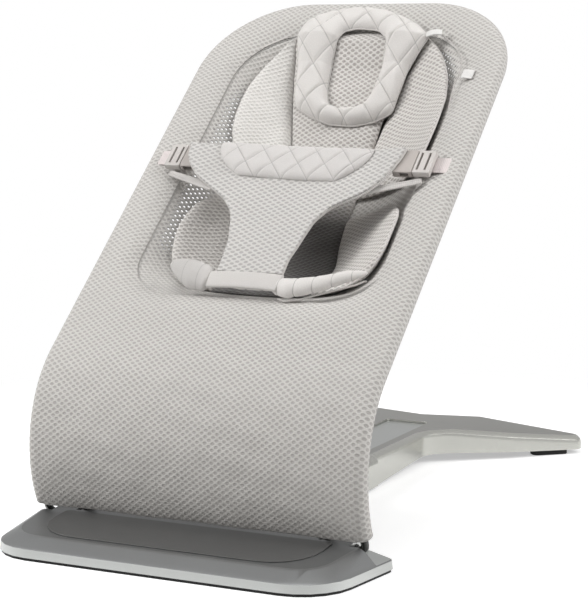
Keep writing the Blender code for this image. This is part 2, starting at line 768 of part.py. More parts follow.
def rear_pads():
    """Rubber pads under the tips, set along the arms."""
    angle = math.radians(40.0)
    centre_x, centre_y = 0.1780, 0.3690

    def make(side, sign):
        corners = []
        for u, v in ((-0.5, -0.5), (0.5, -0.5), (0.5, 0.5), (-0.5, 0.5)):
            along = u * PAD_LENGTH
            across = v * PAD_WIDTH
            x = centre_x + along * math.cos(angle) - across * math.sin(angle)
            y = centre_y + along * math.sin(angle) + across * math.cos(angle)
            corners.append((sign * x, y, 0.007))
        if sign < 0:
            corners.reverse()
        outline = rounded(corners, 3)
        low = [(x, y, 0.0) for x, y in outline]
        high = [(x, y, leg_foot(x, y) - 2 * GAP) for x, y in outline]
        loft("rear_pad_" + side, (low, high), "rubber")

    both_sides(make)


def track_panel():
    """The recessed panel on the spine, with the slot and the notches of the recline positions."""
    half_width = RECESS_HALF_WIDTH + TRACK_LEDGE
    outline = [(half_width, RECESS_FRONT_Y - TRACK_LEDGE), (half_width, RECESS_REAR_Y + TRACK_LEDGE),
               (-half_width, RECESS_REAR_Y + TRACK_LEDGE), (-half_width, RECESS_FRONT_Y - TRACK_LEDGE)]
    low = TRACK_Z - TRACK_THICKNESS
    panel = solid_mesh(plate("track_panel", outline, low, TRACK_Z, "silver"))
    start = STRUT_FOOT.y - SHOE_LENGTH * 0.35
    end = STRUT_FOOT.y + FOLD_TRAVEL + SHOE_LENGTH * 0.35
    cut(panel, box("track_slot", (-SLOT_WIDTH / 2, start, low - 0.002),
                   (SLOT_WIDTH / 2, end, TRACK_Z + 0.002), "silver"))
    for index, share in enumerate((0.0, 0.34, 0.62, 1.0)):
        y = STRUT_FOOT.y + FOLD_TRAVEL * share
        cut(panel,
            rod("notch_%d" % index, (0, y, low - 0.002), (0, y, TRACK_Z + 0.002), NOTCH_RADIUS, "silver"))


def spine_inside():
    """The pan under the sleeve, the bar that joins the sleeve to the leg, and its screws."""
    wall_x = SLEEVE_HALF_WIDTH - SLEEVE_WALL - GAP
    box("spine_pan", (-wall_x, SLEEVE_FRONT_Y + 0.002, SPINE_FOOT_Z),
        (wall_x, SLEEVE_REAR_Y - GAP, SPINE_FOOT_Z + PAN_THICKNESS),
        "black")
    bar_top = SPINE_CEILING_Z - 0.0105
    bar = box("leg_joiner", (-LEG_HALF_WIDTH + LEG_WALL + GAP, SLEEVE_REAR_Y - 0.045, bar_top - 0.0060),
              (LEG_HALF_WIDTH - LEG_WALL - GAP, SLEEVE_REAR_Y + 0.045, bar_top), "steel")
    low = SPINE_FOOT_Z + PAN_THICKNESS + GAP

    def make(side, sign):
        x = sign * 0.032
        y = SLEEVE_REAR_Y - 0.025
        cut(bar, rod("joiner_hole_" + side, (x, y, 0.0), (x, y, 0.05), 0.0025 + GAP, "steel"))
        screw = rod("joiner_screw_" + side, (x, y, low), (x, y, low + 0.003), 0.0045, "steel", sides=12)
        join(screw, rod("joiner_shank_" + side, (x, y, low + 0.001), (x, y, bar_top - 0.001), 0.0025,
                        "steel", sides=12))

    both_sides(make)


# Recline linkage

def support_arms():
    """Two arms on an axle in the front plate. They carry the strut behind the seat."""
    rod("pivot_axle", (-AXLE_BLOCK_X - AXLE_BLOCK_WIDTH / 2, 0, 0),
        (AXLE_BLOCK_X + AXLE_BLOCK_WIDTH / 2, 0, 0), AXLE_RADIUS,
        "steel", ARM_PIVOT)
    top = STRUT_TOP - PIVOT

    def make(side, sign):
        half = ARM_RADIUS + 0.0005
        x = Vector((sign * ARM_X, 0.0, 0.0))
        across = Vector((half, 0.0, 0.0))
        arm = rod("support_arm_" + side, x, x + top, ARM_RADIUS, "black", ARM_PIVOT, sides=12)
        join(arm, rod("arm_eye_low_" + side, x - across, x + across, EYE_RADIUS, "black", ARM_PIVOT))
        join(arm,
             rod("arm_eye_high_" + side, x + top - across, x + top + across, EYE_RADIUS, "black", ARM_PIVOT))
        bore = AXLE_RADIUS + GAP
        cut(arm, rod("arm_bore_low_" + side, x - 2 * across, x + 2 * across, bore, "black", ARM_PIVOT))
        cut(arm, rod("arm_bore_high_" + side, x + top - 2 * across, x + top + 2 * across, bore, "black",
                     ARM_PIVOT))
        inner = sign * (ARM_X - half - 0.001)
        outer = sign * (STRUT_X + STRUT_EYE_WIDTH / 2 + 0.001)
        rod("strut_pin_" + side, (inner, top.y, top.z), (outer, top.y, top.z), AXLE_RADIUS, "steel",
            ARM_PIVOT)

    both_sides(make)


def bend(points, radius, steps=4):
    """A path of straight runs with its inner corners rounded, in space."""
    path = [Vector(points[0])]
    for before, here, after in zip(points, points[1:], points[2:]):
        here = Vector(here)
        back = (Vector(before) - here).normalized()
        ahead = (Vector(after) - here).normalized()
        half = back.angle(ahead) / 2
        reach = radius / math.tan(half)
        middle = here + (back + ahead).normalized() * radius / math.sin(half)
        first = here + back * reach - middle
        last = here + ahead * reach - middle
        for step in range(steps + 1):
            share = step / steps
            angle = (math.pi - 2 * half) * share
            across = (last - first * math.cos(math.pi - 2 * half)).normalized() * radius
            path.append(middle + first * math.cos(angle) + across * math.sin(angle))
    path.append(Vector(points[-1]))
    return path


def struts():
    """Two wires from the arms that draw in to the shoe on the spine."""
    foot = STRUT_FOOT - STRUT_TOP
    along = foot.normalized()
    foot_x = SHOE_HALF_WIDTH + GAP + FOOT_EYE_WIDTH / 2
    rod("foot_pin", (-foot_x - 0.004, foot.y, foot.z), (foot_x + 0.004, foot.y, foot.z), FOOT_PIN_RADIUS,
        "steel",
        STRUT_PIVOT, sides=12)

    def make(side, sign):
        high = Vector((sign * STRUT_X, 0.0, 0.0))
        neck = high + along * STRUT_NECK
        neck.x = sign * STRUT_NECK_X
        low = Vector((sign * (foot_x + 0.0005), 0.0, 0.0)) + foot
        above = low - along * 0.0200
        path = bend((high, neck, above, low), 0.014)
        strut = solid_mesh(wire("strut_" + side, path, STRUT_RADIUS, "black", STRUT_PIVOT))
        across = Vector((STRUT_EYE_WIDTH / 2, 0.0, 0.0))
        join(strut,
             rod("strut_eye_" + side, high - across, high + across, EYE_RADIUS, "black", STRUT_PIVOT))
        near = Vector((sign * (foot_x - FOOT_EYE_WIDTH / 2), foot.y, foot.z))
        far = Vector((sign * (foot_x + FOOT_EYE_WIDTH / 2 + 0.003), foot.y, foot.z))
        join(strut, rod("foot_eye_" + side, near, far, FOOT_EYE_RADIUS, "black", STRUT_PIVOT))
        reach = Vector((0.010, 0.0, 0.0))
        cut(strut,
            rod("strut_bore_" + side, high - reach, high + reach, AXLE_RADIUS + GAP, "black", STRUT_PIVOT))
        cut(strut,
            rod("foot_bore_" + side, near - 2 * reach, near + 2 * reach, FOOT_PIN_RADIUS + GAP, "black",
                       STRUT_PIVOT))
        room = Vector((sign * (foot_x - FOOT_EYE_WIDTH / 2), foot.y, foot.z))
        inner_low, inner_high = sorted((room.x, room.x - sign * 0.02))
        cut(strut, box("foot_room_" + side, (inner_low, room.y - 0.02, room.z - 0.02),
                       (inner_high, room.y + 0.02, room.z + 0.02), "black", STRUT_PIVOT))

    both_sides(make)


def shoe():
    """The shoe that slides on the track, with its tongue in the slot and its button."""
    low = SPINE_CEILING_Z - STRUT_FOOT.z
    top = SHOE_TOP_Z - STRUT_FOOT.z
    half = SHOE_LENGTH / 2
    body = box("slider_shoe", (-SHOE_HALF_WIDTH, -half, low), (SHOE_HALF_WIDTH, half, top), "plastic",
               SHOE_PIVOT,
               round_by=0.0025)
    tongue = SLOT_WIDTH / 2 - 0.0008
    join(body, box("shoe_tongue", (-tongue, -SHOE_LENGTH * 0.30, low - 0.0050),
                   (tongue, SHOE_LENGTH * 0.30, low + 0.003),
                   "plastic", SHOE_PIVOT))
    cut(body, rod("shoe_bore", (-0.04, 0, 0), (0.04, 0, 0), FOOT_PIN_RADIUS + GAP, "plastic", SHOE_PIVOT))
    room = 0.0005
    floor = top - BUTTON_DEPTH
    cut(body, box("button_pocket", (-BUTTON_WIDTH / 2 - room, -BUTTON_LENGTH / 2 - room, floor),
                  (BUTTON_WIDTH / 2 + room, BUTTON_LENGTH / 2 + room, top + 0.01), "plastic", SHOE_PIVOT))
    travel = 0.0022
    box("recline_button", (-BUTTON_WIDTH / 2, -BUTTON_LENGTH / 2, floor + travel + GAP),
        (BUTTON_WIDTH / 2, BUTTON_LENGTH / 2, top + BUTTON_PROUD), "silver", SHOE_PIVOT, round_by=0.0012)


# Seat frame

def knee_point(x, sweep, offset=0.0):
    """A point of the knee, offset out of its face."""
    radius = KNEE_RADIUS + offset
    return (x, -radius * math.sin(sweep), radius * math.cos(sweep) - KNEE_RADIUS)


def frame_path(low_steps=0):
    """The frame's centre line from the left, round the top, to the right."""
    centre = (FRAME_HALF_WIDTH - FRAME_CORNER, FRAME_LENGTH - FRAME_CORNER)
    corner = arc(centre, FRAME_CORNER, 0.0, math.pi / 2, 7)
    right = [(x, s, 0.0) for x, s in corner]
    start = [(FRAME_HALF_WIDTH, 0.0, 0.0)]
    knee = [knee_point(FRAME_HALF_WIDTH, HEM_SWEEP * step / low_steps)
            for step in range(low_steps, 0, -1)] if low_steps else []
    half = knee + start + right
    return [(-x, s, d) for x, s, d in half] + [(x, s, d) for x, s, d in reversed(half)]


def frame():
    tube = solid_mesh(wire("frame_tube", frame_path(), TUBE_RADIUS, "steel", SEAT_PIVOT))
    knee_steps = 9
    stop = KNEE_SWEEP - ROD_BEND / KNEE_RADIUS

    def make(side, sign):
        x = sign * FRAME_HALF_WIDTH
        reach = ROD_PLUG + 0.001
        cut(tube, rod("rod_socket_" + side, (x, -0.01, 0), (x, reach, 0), ROD_RADIUS + 2 * GAP, "steel",
                      SEAT_PIVOT))
        path = [Vector((x, ROD_PLUG, 0.0))]
        path += [Vector(knee_point(x, stop * step / knee_steps)) for step in range(knee_steps + 1)]
        down = Vector((0.0, -math.cos(KNEE_SWEEP), -math.sin(KNEE_SWEEP)))
        inward = Vector((-sign, 0.0, 0.0))
        corner = Vector((x, KNEE_END.y, KNEE_END.z))
        middle = corner + ROD_BEND * (inward - down)
        for step in range(1, 5):
            angle = math.pi / 2 * step / 4
            path.append(middle - inward * ROD_BEND * math.cos(angle) + down * ROD_BEND * math.sin(angle))
        path.append(Vector((sign * ROD_END_X, KNEE_END.y, KNEE_END.z)))
        wire("spring_rod_" + side, path, ROD_RADIUS, "black", SEAT_PIVOT)

    both_sides(make)


# Cover and mesh seat

def sheet_rows():
    """Rows of the cover's sheet, from the hem over the knee to the top: half width and offset."""
    rows = []
    knee_steps = 9
    hem = HEM_SWEEP - 0.006
    for step in range(knee_steps, 0, -1):
        sweep = hem * step / knee_steps
        rows.append((FRAME_HALF_WIDTH, lambda x, offset, sweep=sweep: knee_point(x, sweep, offset)))
    straight = [0.0, OPENING_LOW / 2, FRAME_LENGTH / 3, FRAME_LENGTH / 1.6]
    corner = [FRAME_LENGTH - FRAME_CORNER * (1 - math.sin(math.pi / 2 * step / 7)) for step in range(8)]
    for s in straight + corner:
        over = max(s - (FRAME_LENGTH - FRAME_CORNER), 0.0)
        width = FRAME_HALF_WIDTH - FRAME_CORNER + math.sqrt(max(FRAME_CORNER ** 2 - over ** 2, 0.0))
        rows.append((width, lambda x, offset, s=s: (x, s, offset)))
    return rows


def opening_outline(grow=0.0, steps=6):
    width = OPENING_HALF_WIDTH + grow
    low = OPENING_LOW - grow
    high = OPENING_HIGH + grow
    low_radius = OPENING_LOW_RADIUS + grow
    high_radius = OPENING_HIGH_RADIUS + grow
    return rounded([(width, low, low_radius), (width, high, high_radius), (-width, high, high_radius),
                    (-width, low, low_radius)], steps)


def seat_cover():
    """A sheet over the frame, hemmed round its tube, with a hem at the knee and an opening."""
    columns = 4
    grid = []
    for width, place in sheet_rows():
        row = []
        for i in range(-columns, columns + 1):
            x = width * i / columns
            row.append((place(x, SHEET_D), place(x, SHEET_TOP_D)))
        grid.append(row)
    cover = slab("seat_cover", grid, "mesh_fabric", SEAT_PIVOT)
    path = frame_path(low_steps=9)
    outer = COVER_BORE + FABRIC
    join(cover, solid_mesh(wire("cover_hem", path, outer, "mesh_fabric", SEAT_PIVOT)))
    ends = (path[0], path[-1])
    longer = []
    for place, nxt in ((ends[0], path[1]), (ends[1], path[-2])):
        longer.append(Vector(place) + (Vector(place) - Vector(nxt)) * 0.2)
    bore = [tuple(longer[0])] + path + [tuple(longer[1])]
    cut(cover, solid_mesh(wire("cover_bore", bore, COVER_BORE, "mesh_fabric", SEAT_PIVOT)))
    cut(cover, solid_mesh(plate("cover_opening", opening_outline(), -0.02, 0.02, "mesh_fabric",
                                parent=SEAT_PIVOT)))
    return cover


def piping():
    """The round seam along the opening's inner edge."""
    points = [(x, s, SHEET_TOP_D - PIPING_RADIUS) for x, s in opening_outline(-PIPING_RADIUS - GAP)]
    wire("well_piping", points, PIPING_RADIUS, "mesh_fabric", SEAT_PIVOT, sides=8, closed=True)


def opening_half_width(s):
    """Half the opening's width at a row, its corners rounded."""
    low = OPENING_LOW + OPENING_LOW_RADIUS
    high = OPENING_HIGH - OPENING_HIGH_RADIUS
    if s < low:
        radius, over = OPENING_LOW_RADIUS, min(low - s, OPENING_LOW_RADIUS)
    else:
        radius, over = OPENING_HIGH_RADIUS, min(max(s - high, 0.0), OPENING_HIGH_RADIUS)
    return OPENING_HALF_WIDTH - radius + math.sqrt(radius ** 2 - over ** 2)


def rim_half_width(s):
    """The mesh seat's half width: its upper corners keep clear of the frame's hem."""
    radius = FRAME_CORNER - COVER_BORE - FABRIC - WELL_HEM_GAP
    over = max(s - (FRAME_LENGTH - FRAME_CORNER), 0.0)
    return min(WELL_HALF_WIDTH,
               FRAME_HALF_WIDTH - FRAME_CORNER + math.sqrt(max(radius ** 2 - over ** 2, 0.0)))


def well_face(share, s):
    """The face of the mesh seat: a hammock that starts at the opening, deepest below its middle."""
    run = (s - OPENING_LOW) / (OPENING_HIGH - OPENING_LOW)
    run = min(max(run, 0.0), 1.0)
    if run < WELL_DEEPEST:
        sag = 1.0 - (1.0 - run / WELL_DEEPEST) ** 2
    else:
        sag = 1.0 - ((run - WELL_DEEPEST) / (1.0 - WELL_DEEPEST)) ** 5
    return WELL_RIM_D - WELL_DEPTH * sag * (1.0 - min(abs(share), 1.0) ** 2.6)


def well_row(j):
    """Rows across the mesh seat, closer together at its rounded ends."""
    even = j / WELL_ROWS
    share = 0.5 * even + 0.5 * (0.5 - 0.5 * math.cos(math.pi * even))
    return OPENING_LOW + (OPENING_HIGH - OPENING_LOW) * share


def seat_well():
    grid = []
    for j in range(-1, WELL_ROWS + 2):
        s = well_row(j) if 0 <= j <= WELL_ROWS else (OPENING_LOW_EDGE if j < 0 else OPENING_HIGH_EDGE)
        half = [(share * opening_half_width(s), share) for share in WELL_COLUMNS] + [(rim_half_width(s),
                                                                                      1.0)]
        row = []
        for x, share in [(-x, -share) for x, share in reversed(half[1:])] + half:
            face = well_face(share, s)
            row.append(((x, s, face - WELL_MESH), (x, s, face)))
        grid.append(row)
    slab("seat_well", grid, "mesh_fabric", SEAT_PIVOT)


def pad(name, across, columns, first_row, last_row, thickness, look, edge, lift=None):
    """A padded panel on the mesh seat between two shares of its width, with a crown and drawn-in edges."""
    rows = list(range(first_row, last_row + 1))
    grid = []
    for j in rows:
        s = well_row(j)
        if j == rows[0]:
            s += INSERT_GAP / 2
        if j == rows[-1]:
            s -= INSERT_GAP / 2
        along = 2.0 * (j - rows[0]) / (len(rows) - 1) - 1.0
        first, last = across(s)
        row = []
        for i in range(columns + 1):
            place = 2.0 * i / columns - 1.0
            share = first + (last - first) * i / columns
            x = share * opening_half_width(s)
            if abs(place) > 0.99:
                x -= math.copysign(INSERT_GAP / 2, place)
            crown = edge + (1.0 - edge) * math.sqrt(max(1.0 - along ** 4, 0.0) * max(1.0 - place ** 4, 0.0))
            low = well_face(share, s) + INSERT_GAP
            if lift is not None:
                low = lift(share, s, low)
            row.append(((x, s, low), (x, s, low + thickness * crown)))
        grid.append(row)
    return slab(name, grid, look, SEAT_PIVOT)


def pillow_base(s):
    """The pillow lies on the insert's back and bends over the cover's upper edge."""
    return between(PILLOW_LINE, s - OPENING_HIGH)


def drawn(s):
    """A row of the opening, as a row of the opening that the wings' lines are drawn for."""
    return OPENING_LOW + (s - OPENING_LOW) * DRAWN_RUN / (OPENING_HIGH - OPENING_LOW)


def insert():
    """The newborn insert: a back that rises to the pillow, and upper and lower wings."""
    def back(s):
        share = between(CREASE_LINE, drawn(s))
        return -share, share

    pad("insert_back", back, 6, 2, 17, BACK_THICKNESS, "insert_fabric", 0.45,
        lambda share, s, low: max(low, pillow_base(s) - BACK_THICKNESS - GAP))

    def make(side, sign):
        def upper(s):
            ends = sorted((sign * between(CREASE_LINE, drawn(s)), sign * between(WING_EDGE_LINE, drawn(s))))
            return ends[0], ends[1]

        def clear(share, s, low):
            return low + WING_CLEARANCE * abs(share)

        pad("insert_upper_wing_" + side, upper, 4, 9, 17, WING_THICKNESS, "insert_fabric", 0.40, clear)
        pad("insert_lower_wing_" + side, upper, 4, 2, 7, WING_THICKNESS, "insert_fabric", 0.40, clear)

    both_sides(make)


def front_roll():
    """A roll with rounded ends along the insert's front edge, bent back at its sides."""
    centre = (ROLL_LEFT_X + ROLL_RIGHT_X) / 2
    half = (ROLL_RIGHT_X - ROLL_LEFT_X) / 2
    rings = []
    steps = 14
    for step in range(1, steps):
        share = -math.cos(math.pi * step / steps)
        radius = ROLL_RADIUS * (1.0 - abs(share) ** 6) ** 0.5
        x = centre + half * share
        s = ROLL_S + ROLL_BEND * x * x
        depth = well_face(x / opening_half_width(s), s) + INSERT_GAP + 1.55 * radius
        rings.append([(x, s + v, depth + w) for v, w in arc((0, 0), radius, 0.0, 2 * math.pi * 9 / 10, 9)])
    loft("front_roll", rings, "cream", SEAT_PIVOT)


def head_pillow():
    """A flat ring round the head: its outline and its hole widen towards the top."""
    rings = []
    around = 32
    section = 8
    for step in range(around):
        angle = 2 * math.pi * step / around
        c, n = math.cos(angle), math.sin(angle)
        outer_size = (abs(c) ** 2.6 + abs(n) ** 2.6) ** (-1 / 2.6)
        inner_size = (abs(c) ** 3.2 + abs(n) ** 3.2) ** (-1 / 3.2)
        rise = PILLOW_HALF_LENGTH * outer_size * n
        outer = Vector(((PILLOW_HALF_WIDTH + PILLOW_TAPER * rise) * outer_size * c, PILLOW_CENTRE + rise))
        rise = HOLE_HALF_LENGTH * inner_size * n
        inner = Vector(((HOLE_HALF_WIDTH + HOLE_TAPER * rise) * inner_size * c, HOLE_CENTRE + rise))
        ring = []
        for k in range(section):
            turn = 2 * math.pi * k / section
            share = 0.5 + 0.5 * math.cos(turn)
            place = inner + (outer - inner) * share
            rise = PILLOW_THICKNESS * (0.5 + 0.5 * math.sin(turn))
            ring.append((place.x, place.y, pillow_base(place.y) + GAP + rise))
        rings.append(ring)
    loft("head_pillow", rings, "cream", SEAT_PIVOT, closed=True)


# Harness and buckles

def panel_face(x):
    """The harness lies near the seat's middle and lifts over the buckles."""
    return PANEL_D + PANEL_LIFT * (abs(x) / PANEL_LIFT_X) ** 2


def harness():
    rows = 14
    low, high = HARNESS_EDGE[0][0], HARNESS_EDGE[-1][0]
    grid = []
    for j in range(rows + 1):
        s = low + (high - low) * j / rows
        width = between(HARNESS_EDGE, s)
        row = []
        for i in range(-5, 6):
            x = width * i / 5
            row.append(((x, s, panel_face(x)), (x, s, panel_face(x) + PANEL_THICKNESS)))
        grid.append(row)
    slab("harness_panel", grid, "mesh_fabric", SEAT_PIVOT)

    grid = []
    for j in range(7):
        along = 2.0 * j / 6 - 1.0
        s = (WAIST_LOW + WAIST_HIGH) / 2 + (WAIST_HIGH - WAIST_LOW) / 2 * along
        draw = 1.0 - WAIST_DRAW * ((1.0 - along) / 2) ** 2.2
        row = []
        for i in range(-7, 8):
            across = i / 7
            x = WAIST_HALF_WIDTH * draw * across
            crown = 0.35 + 0.65 * math.sqrt(max(1 - along ** 4, 0.0) * max(1 - across ** 6, 0.0))
            base = panel_face(x) + PANEL_THICKNESS + 1.5 * GAP
            row.append(((x, s, base), (x, s, base + WAIST_THICKNESS * crown)))
        grid.append(row)
    slab("waist_pad", grid, "cream", SEAT_PIVOT)

    width = HARNESS_EDGE[0][1] + 0.0015
    box("crotch_band", (-width, CROTCH_LOW, PANEL_D - 0.0004),
        (width, HARNESS_EDGE[0][0] - GAP, PANEL_D + CROTCH_THICKNESS),
        "cream", SEAT_PIVOT, round_by=0.0012)


def harness_straps():
    """Flat straps that run from under the harness, over the opening's edge, on to the cover."""
    def make(side, sign):
        grid = []
        for step in range(7):
            share = step / 6
            x = sign * (STRAP_START_X + (STRAP_END_X - STRAP_START_X) * share)
            s = STRAP_START_S + (STRAP_END_S - STRAP_START_S) * share
            low = SHEET_TOP_D + GAP + STRAP_LIFT * max(1.0 - 1.6 * share, 0.0) ** 2
            row = []
            for across in (-1.0, 0.0, 1.0):
                place = s + across * STRAP_HALF_WIDTH
                row.append(((x, place, low), (x, place, low + STRAP_THICKNESS)))
            grid.append(row)
        slab("harness_strap_" + side, grid, "cream", SEAT_PIVOT)

    both_sides(make)


def buckles():
    s_low = BUCKLE_S - BUCKLE_HALF_HEIGHT
    s_high = BUCKLE_S + BUCKLE_HALF_HEIGHT
    mouth_x = FEMALE_X + FEMALE_LENGTH
    lock_x = mouth_x + 2 * GAP
    inner_s = BUCKLE_HALF_HEIGHT - BUCKLE_WALL
    tongue_d = (BUCKLE_D + BUCKLE_WALL + 2 * GAP, BUCKLE_TOP_D - BUCKLE_WALL - 2 * GAP)

    def block(name, x0, x1, s0, s1, d0, d1, look, sign, round_by=0.0):
        low_x, high_x = sorted((sign * x0, sign * x1))
        return box(name, (low_x, s0, d0), (high_x, s1, d1), look, SEAT_PIVOT, round_by)

    def make(side, sign):
        female = block("buckle_female_" + side, FEMALE_X, mouth_x, s_low, s_high, BUCKLE_D, BUCKLE_TOP_D,
                       "plastic", sign, 0.0015)
        cut(female, block("female_mouth_" + side, FEMALE_X + BUCKLE_WALL, mouth_x + 0.01,
                          BUCKLE_S - inner_s, BUCKLE_S + inner_s,
                          BUCKLE_D + BUCKLE_WALL, BUCKLE_TOP_D - BUCKLE_WALL, "plastic", sign))
        cut(female,
            block("female_window_" + side, FEMALE_X + 0.009, mouth_x - 0.004, s_low - 0.01, s_high + 0.01,
                          BUCKLE_D + BUCKLE_WALL, BUCKLE_TOP_D - BUCKLE_WALL, "plastic", sign))
        male = block("buckle_male_" + side, lock_x, lock_x + LOCK_LENGTH, s_low, s_high,
                     SHEET_TOP_D + 3 * GAP + WEBBING_THICKNESS,
                     BUCKLE_TOP_D, "plastic", sign, 0.0015)
        for name, share in (("inner", 0.24), ("outer", 0.70)):
            x = lock_x + LOCK_LENGTH * share
            cut(male, block("lock_slot_%s_%s" % (name, side), x - LOCK_SLOT / 2, x + LOCK_SLOT / 2,
                            s_low + 0.0045, s_high - 0.0045,
                            0.0, 0.04, "plastic", sign))
        join(male, block("male_tongue_" + side, FEMALE_X + BUCKLE_WALL + 0.0015, lock_x + 0.0015,
                         BUCKLE_S - TONGUE_HALF_HEIGHT,
                         BUCKLE_S + TONGUE_HALF_HEIGHT, *tongue_d, "plastic", sign))
        for name, up in (("upper", 1.0), ("lower", -1.0)):
            far = BUCKLE_S + up * (inner_s - PRONG_TIP_GAP + 0.0010)
            near = far - up * PRONG_HEIGHT
            s0, s1 = sorted((near, far))
            block("buckle_prong_%s_%s" % (name, side), FEMALE_X + BUCKLE_WALL + 0.0025, lock_x - GAP, s0,
                  s1, *tongue_d,
                  "plastic", sign, 0.0008)
        web_low = SHEET_TOP_D + GAP
        block("webbing_" + side, lock_x + 0.002, WEBBING_END_X, BUCKLE_S - WEBBING_HALF_HEIGHT,
              BUCKLE_S + WEBBING_HALF_HEIGHT,
              web_low, web_low + WEBBING_THICKNESS, "webbing", sign)

    both_sides(make)


def labels():
    """A blank fabric label on the opening's edge and the insert's small hanging tab."""
    box("side_label", (OPENING_HALF_WIDTH + 0.0060, 0.4480, SHEET_TOP_D + GAP),
        (OPENING_HALF_WIDTH + 0.0200, 0.4620, SHEET_TOP_D + GAP + 0.0008), "cream", SEAT_PIVOT)


front_plate()
plate_inlay()
plate_underside()
pivot_blocks()
spine_sleeve()
rear_leg()
rear_leg_cover()
rear_pads()
track_panel()
spine_inside()
support_arms()
struts()
shoe()
frame()
seat_cover()
piping()
seat_well()
insert()
front_roll()
head_pillow()
harness()
harness_straps()
buckles()
labels()
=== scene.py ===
"""Baby bouncer: the looks of its cover, mesh seat, newborn insert, harness and floor stand.

Cloth pieces are surfaces of two parameters worked out on the seat's own coordinates:
x across, s up the seat from the knee, d out of its face, all in metres.
"""

import json
from math import cos, inf, pi, radians, sin, tau

import bmesh
import bpy
import numpy as np
from mathutils import Matrix, Vector


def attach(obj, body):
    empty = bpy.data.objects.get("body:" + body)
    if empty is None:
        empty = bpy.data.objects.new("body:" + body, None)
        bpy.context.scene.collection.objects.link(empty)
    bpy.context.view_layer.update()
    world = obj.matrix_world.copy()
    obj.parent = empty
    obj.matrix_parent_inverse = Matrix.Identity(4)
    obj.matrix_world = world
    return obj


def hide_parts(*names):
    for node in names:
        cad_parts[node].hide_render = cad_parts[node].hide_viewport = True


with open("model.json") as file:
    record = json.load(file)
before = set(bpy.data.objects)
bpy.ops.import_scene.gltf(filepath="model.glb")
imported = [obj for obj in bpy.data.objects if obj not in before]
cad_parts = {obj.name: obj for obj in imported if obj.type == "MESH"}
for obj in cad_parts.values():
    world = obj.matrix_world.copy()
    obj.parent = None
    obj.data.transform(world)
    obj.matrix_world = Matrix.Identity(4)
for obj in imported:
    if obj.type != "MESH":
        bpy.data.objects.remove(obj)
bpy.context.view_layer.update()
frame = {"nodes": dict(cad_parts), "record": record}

# Sizes of the seat, as the part has them

SEAT_ANGLE = radians(41.74)
SEAT_OUT = np.array((0.0, -sin(SEAT_ANGLE), cos(SEAT_ANGLE)))
KNEE_RADIUS = 0.1397
KNEE_SWEEP = radians(82.0)
HEM_RUN = -KNEE_RADIUS * radians(73.3)
PIVOT_Y, PIVOT_Z = -0.2839, 0.0224
TUBE_X = 0.1965
TUBE_TOP = 0.5825
TUBE_CORNER = 0.116
COVER_RADIUS = 0.0087
SHEET_TOP = 0.0088
OPENING_HALF = 0.155
OPENING_LOW, OPENING_HIGH = 0.095, 0.54
OPENING_MIDDLE = (OPENING_LOW + OPENING_HIGH) / 2
LOW_CORNER, HIGH_CORNER = 0.055, 0.085
WELL_RIM = -0.0012
WELL_DEPTH = 0.069
WELL_DEEPEST = 0.27
WELL_POWER = 2.7
RIM_EASE, RIM_REACH = 0.58, 0.045
PANEL_D = 0.0106
PANEL_LIFT, PANEL_REACH = 0.0082, 0.12
PANEL_LEVEL = 0.131
PANEL_THICKNESS = 0.0024
SIDES = (("left", -1), ("right", 1))

# Rows of the seat between which a piece lies

BACK_ROWS = (0.1264, 0.542)
WING_ROWS, WING_PIPING_ROWS = (0.313, 0.532), (0.316, 0.529)
BOLSTER_ROWS, BOLSTER_PIPING_ROWS = (0.1264, 0.28), (0.129, 0.2775)
HARNESS_ROWS = (0.1212, 0.316)

# Lines measured on the photo: a row s and a share of the opening's half width there

CREASE = {
    "left": ((0.126, 0.42), (0.171, 0.41), (0.222, 0.37), (0.313, 0.36), (0.394, 0.412), (0.437, 0.476),
        (0.47, 0.522), (0.505, 0.608), (0.53, 0.75), (0.545, 0.79)),
    "right": ((0.126, 0.42), (0.19, 0.421), (0.222, 0.364), (0.25, 0.334), (0.275, 0.312), (0.389, 0.308),
        (0.428, 0.33), (0.442, 0.36), (0.4645, 0.39), (0.486, 0.448), (0.506, 0.573), (0.5246, 0.73), (0.545, 0.78))}
WING_EDGE = {
    "left": ((0.313, 0.73), (0.3575, 0.779), (0.381, 0.831), (0.404, 0.851), (0.429, 0.855), (0.452, 0.846),
        (0.477, 0.819), (0.4996, 0.79), (0.512, 0.78), (0.532, 0.785)),
    "right": ((0.313, 0.943), (0.367, 0.97), (0.389, 0.968), (0.4255, 0.944), (0.4588, 0.876), (0.4847, 0.842),
        (0.5028, 0.83), (0.5182, 0.818), (0.532, 0.798))}
BOLSTER_EDGE = {
    "left": ((0.126, 0.64), (0.145, 0.72), (0.1621, 0.796), (0.1788, 0.831), (0.1985, 0.855), (0.2144, 0.861),
        (0.2331, 0.852), (0.2544, 0.829), (0.2679, 0.783), (0.28, 0.68)),
    "right": ((0.126, 0.72), (0.143, 0.86), (0.161, 0.93), (0.182, 0.96), (0.226, 0.96), (0.245, 0.91),
        (0.2642, 0.816), (0.28, 0.672))}

# A row s and the distance x there

HARNESS_EDGE = {
    "left": ((0.1212, 0.0365), (0.1317, 0.0365), (0.1701, 0.0408), (0.2009, 0.0501), (0.2178, 0.0579),
        (0.2354, 0.0736), (0.2477, 0.0926), (0.2637, 0.1175), (0.2797, 0.1325), (0.295, 0.142), (0.3167, 0.146)),
    "right": ((0.1169, 0.0457), (0.1456, 0.0446), (0.1641, 0.0485), (0.1813, 0.0511), (0.2045, 0.0555),
        (0.225, 0.0686), (0.2355, 0.0855), (0.2467, 0.1045), (0.2634, 0.1197), (0.2817, 0.1277), (0.3009, 0.1335),
        (0.3167, 0.136))}

# Closed outlines in x and s

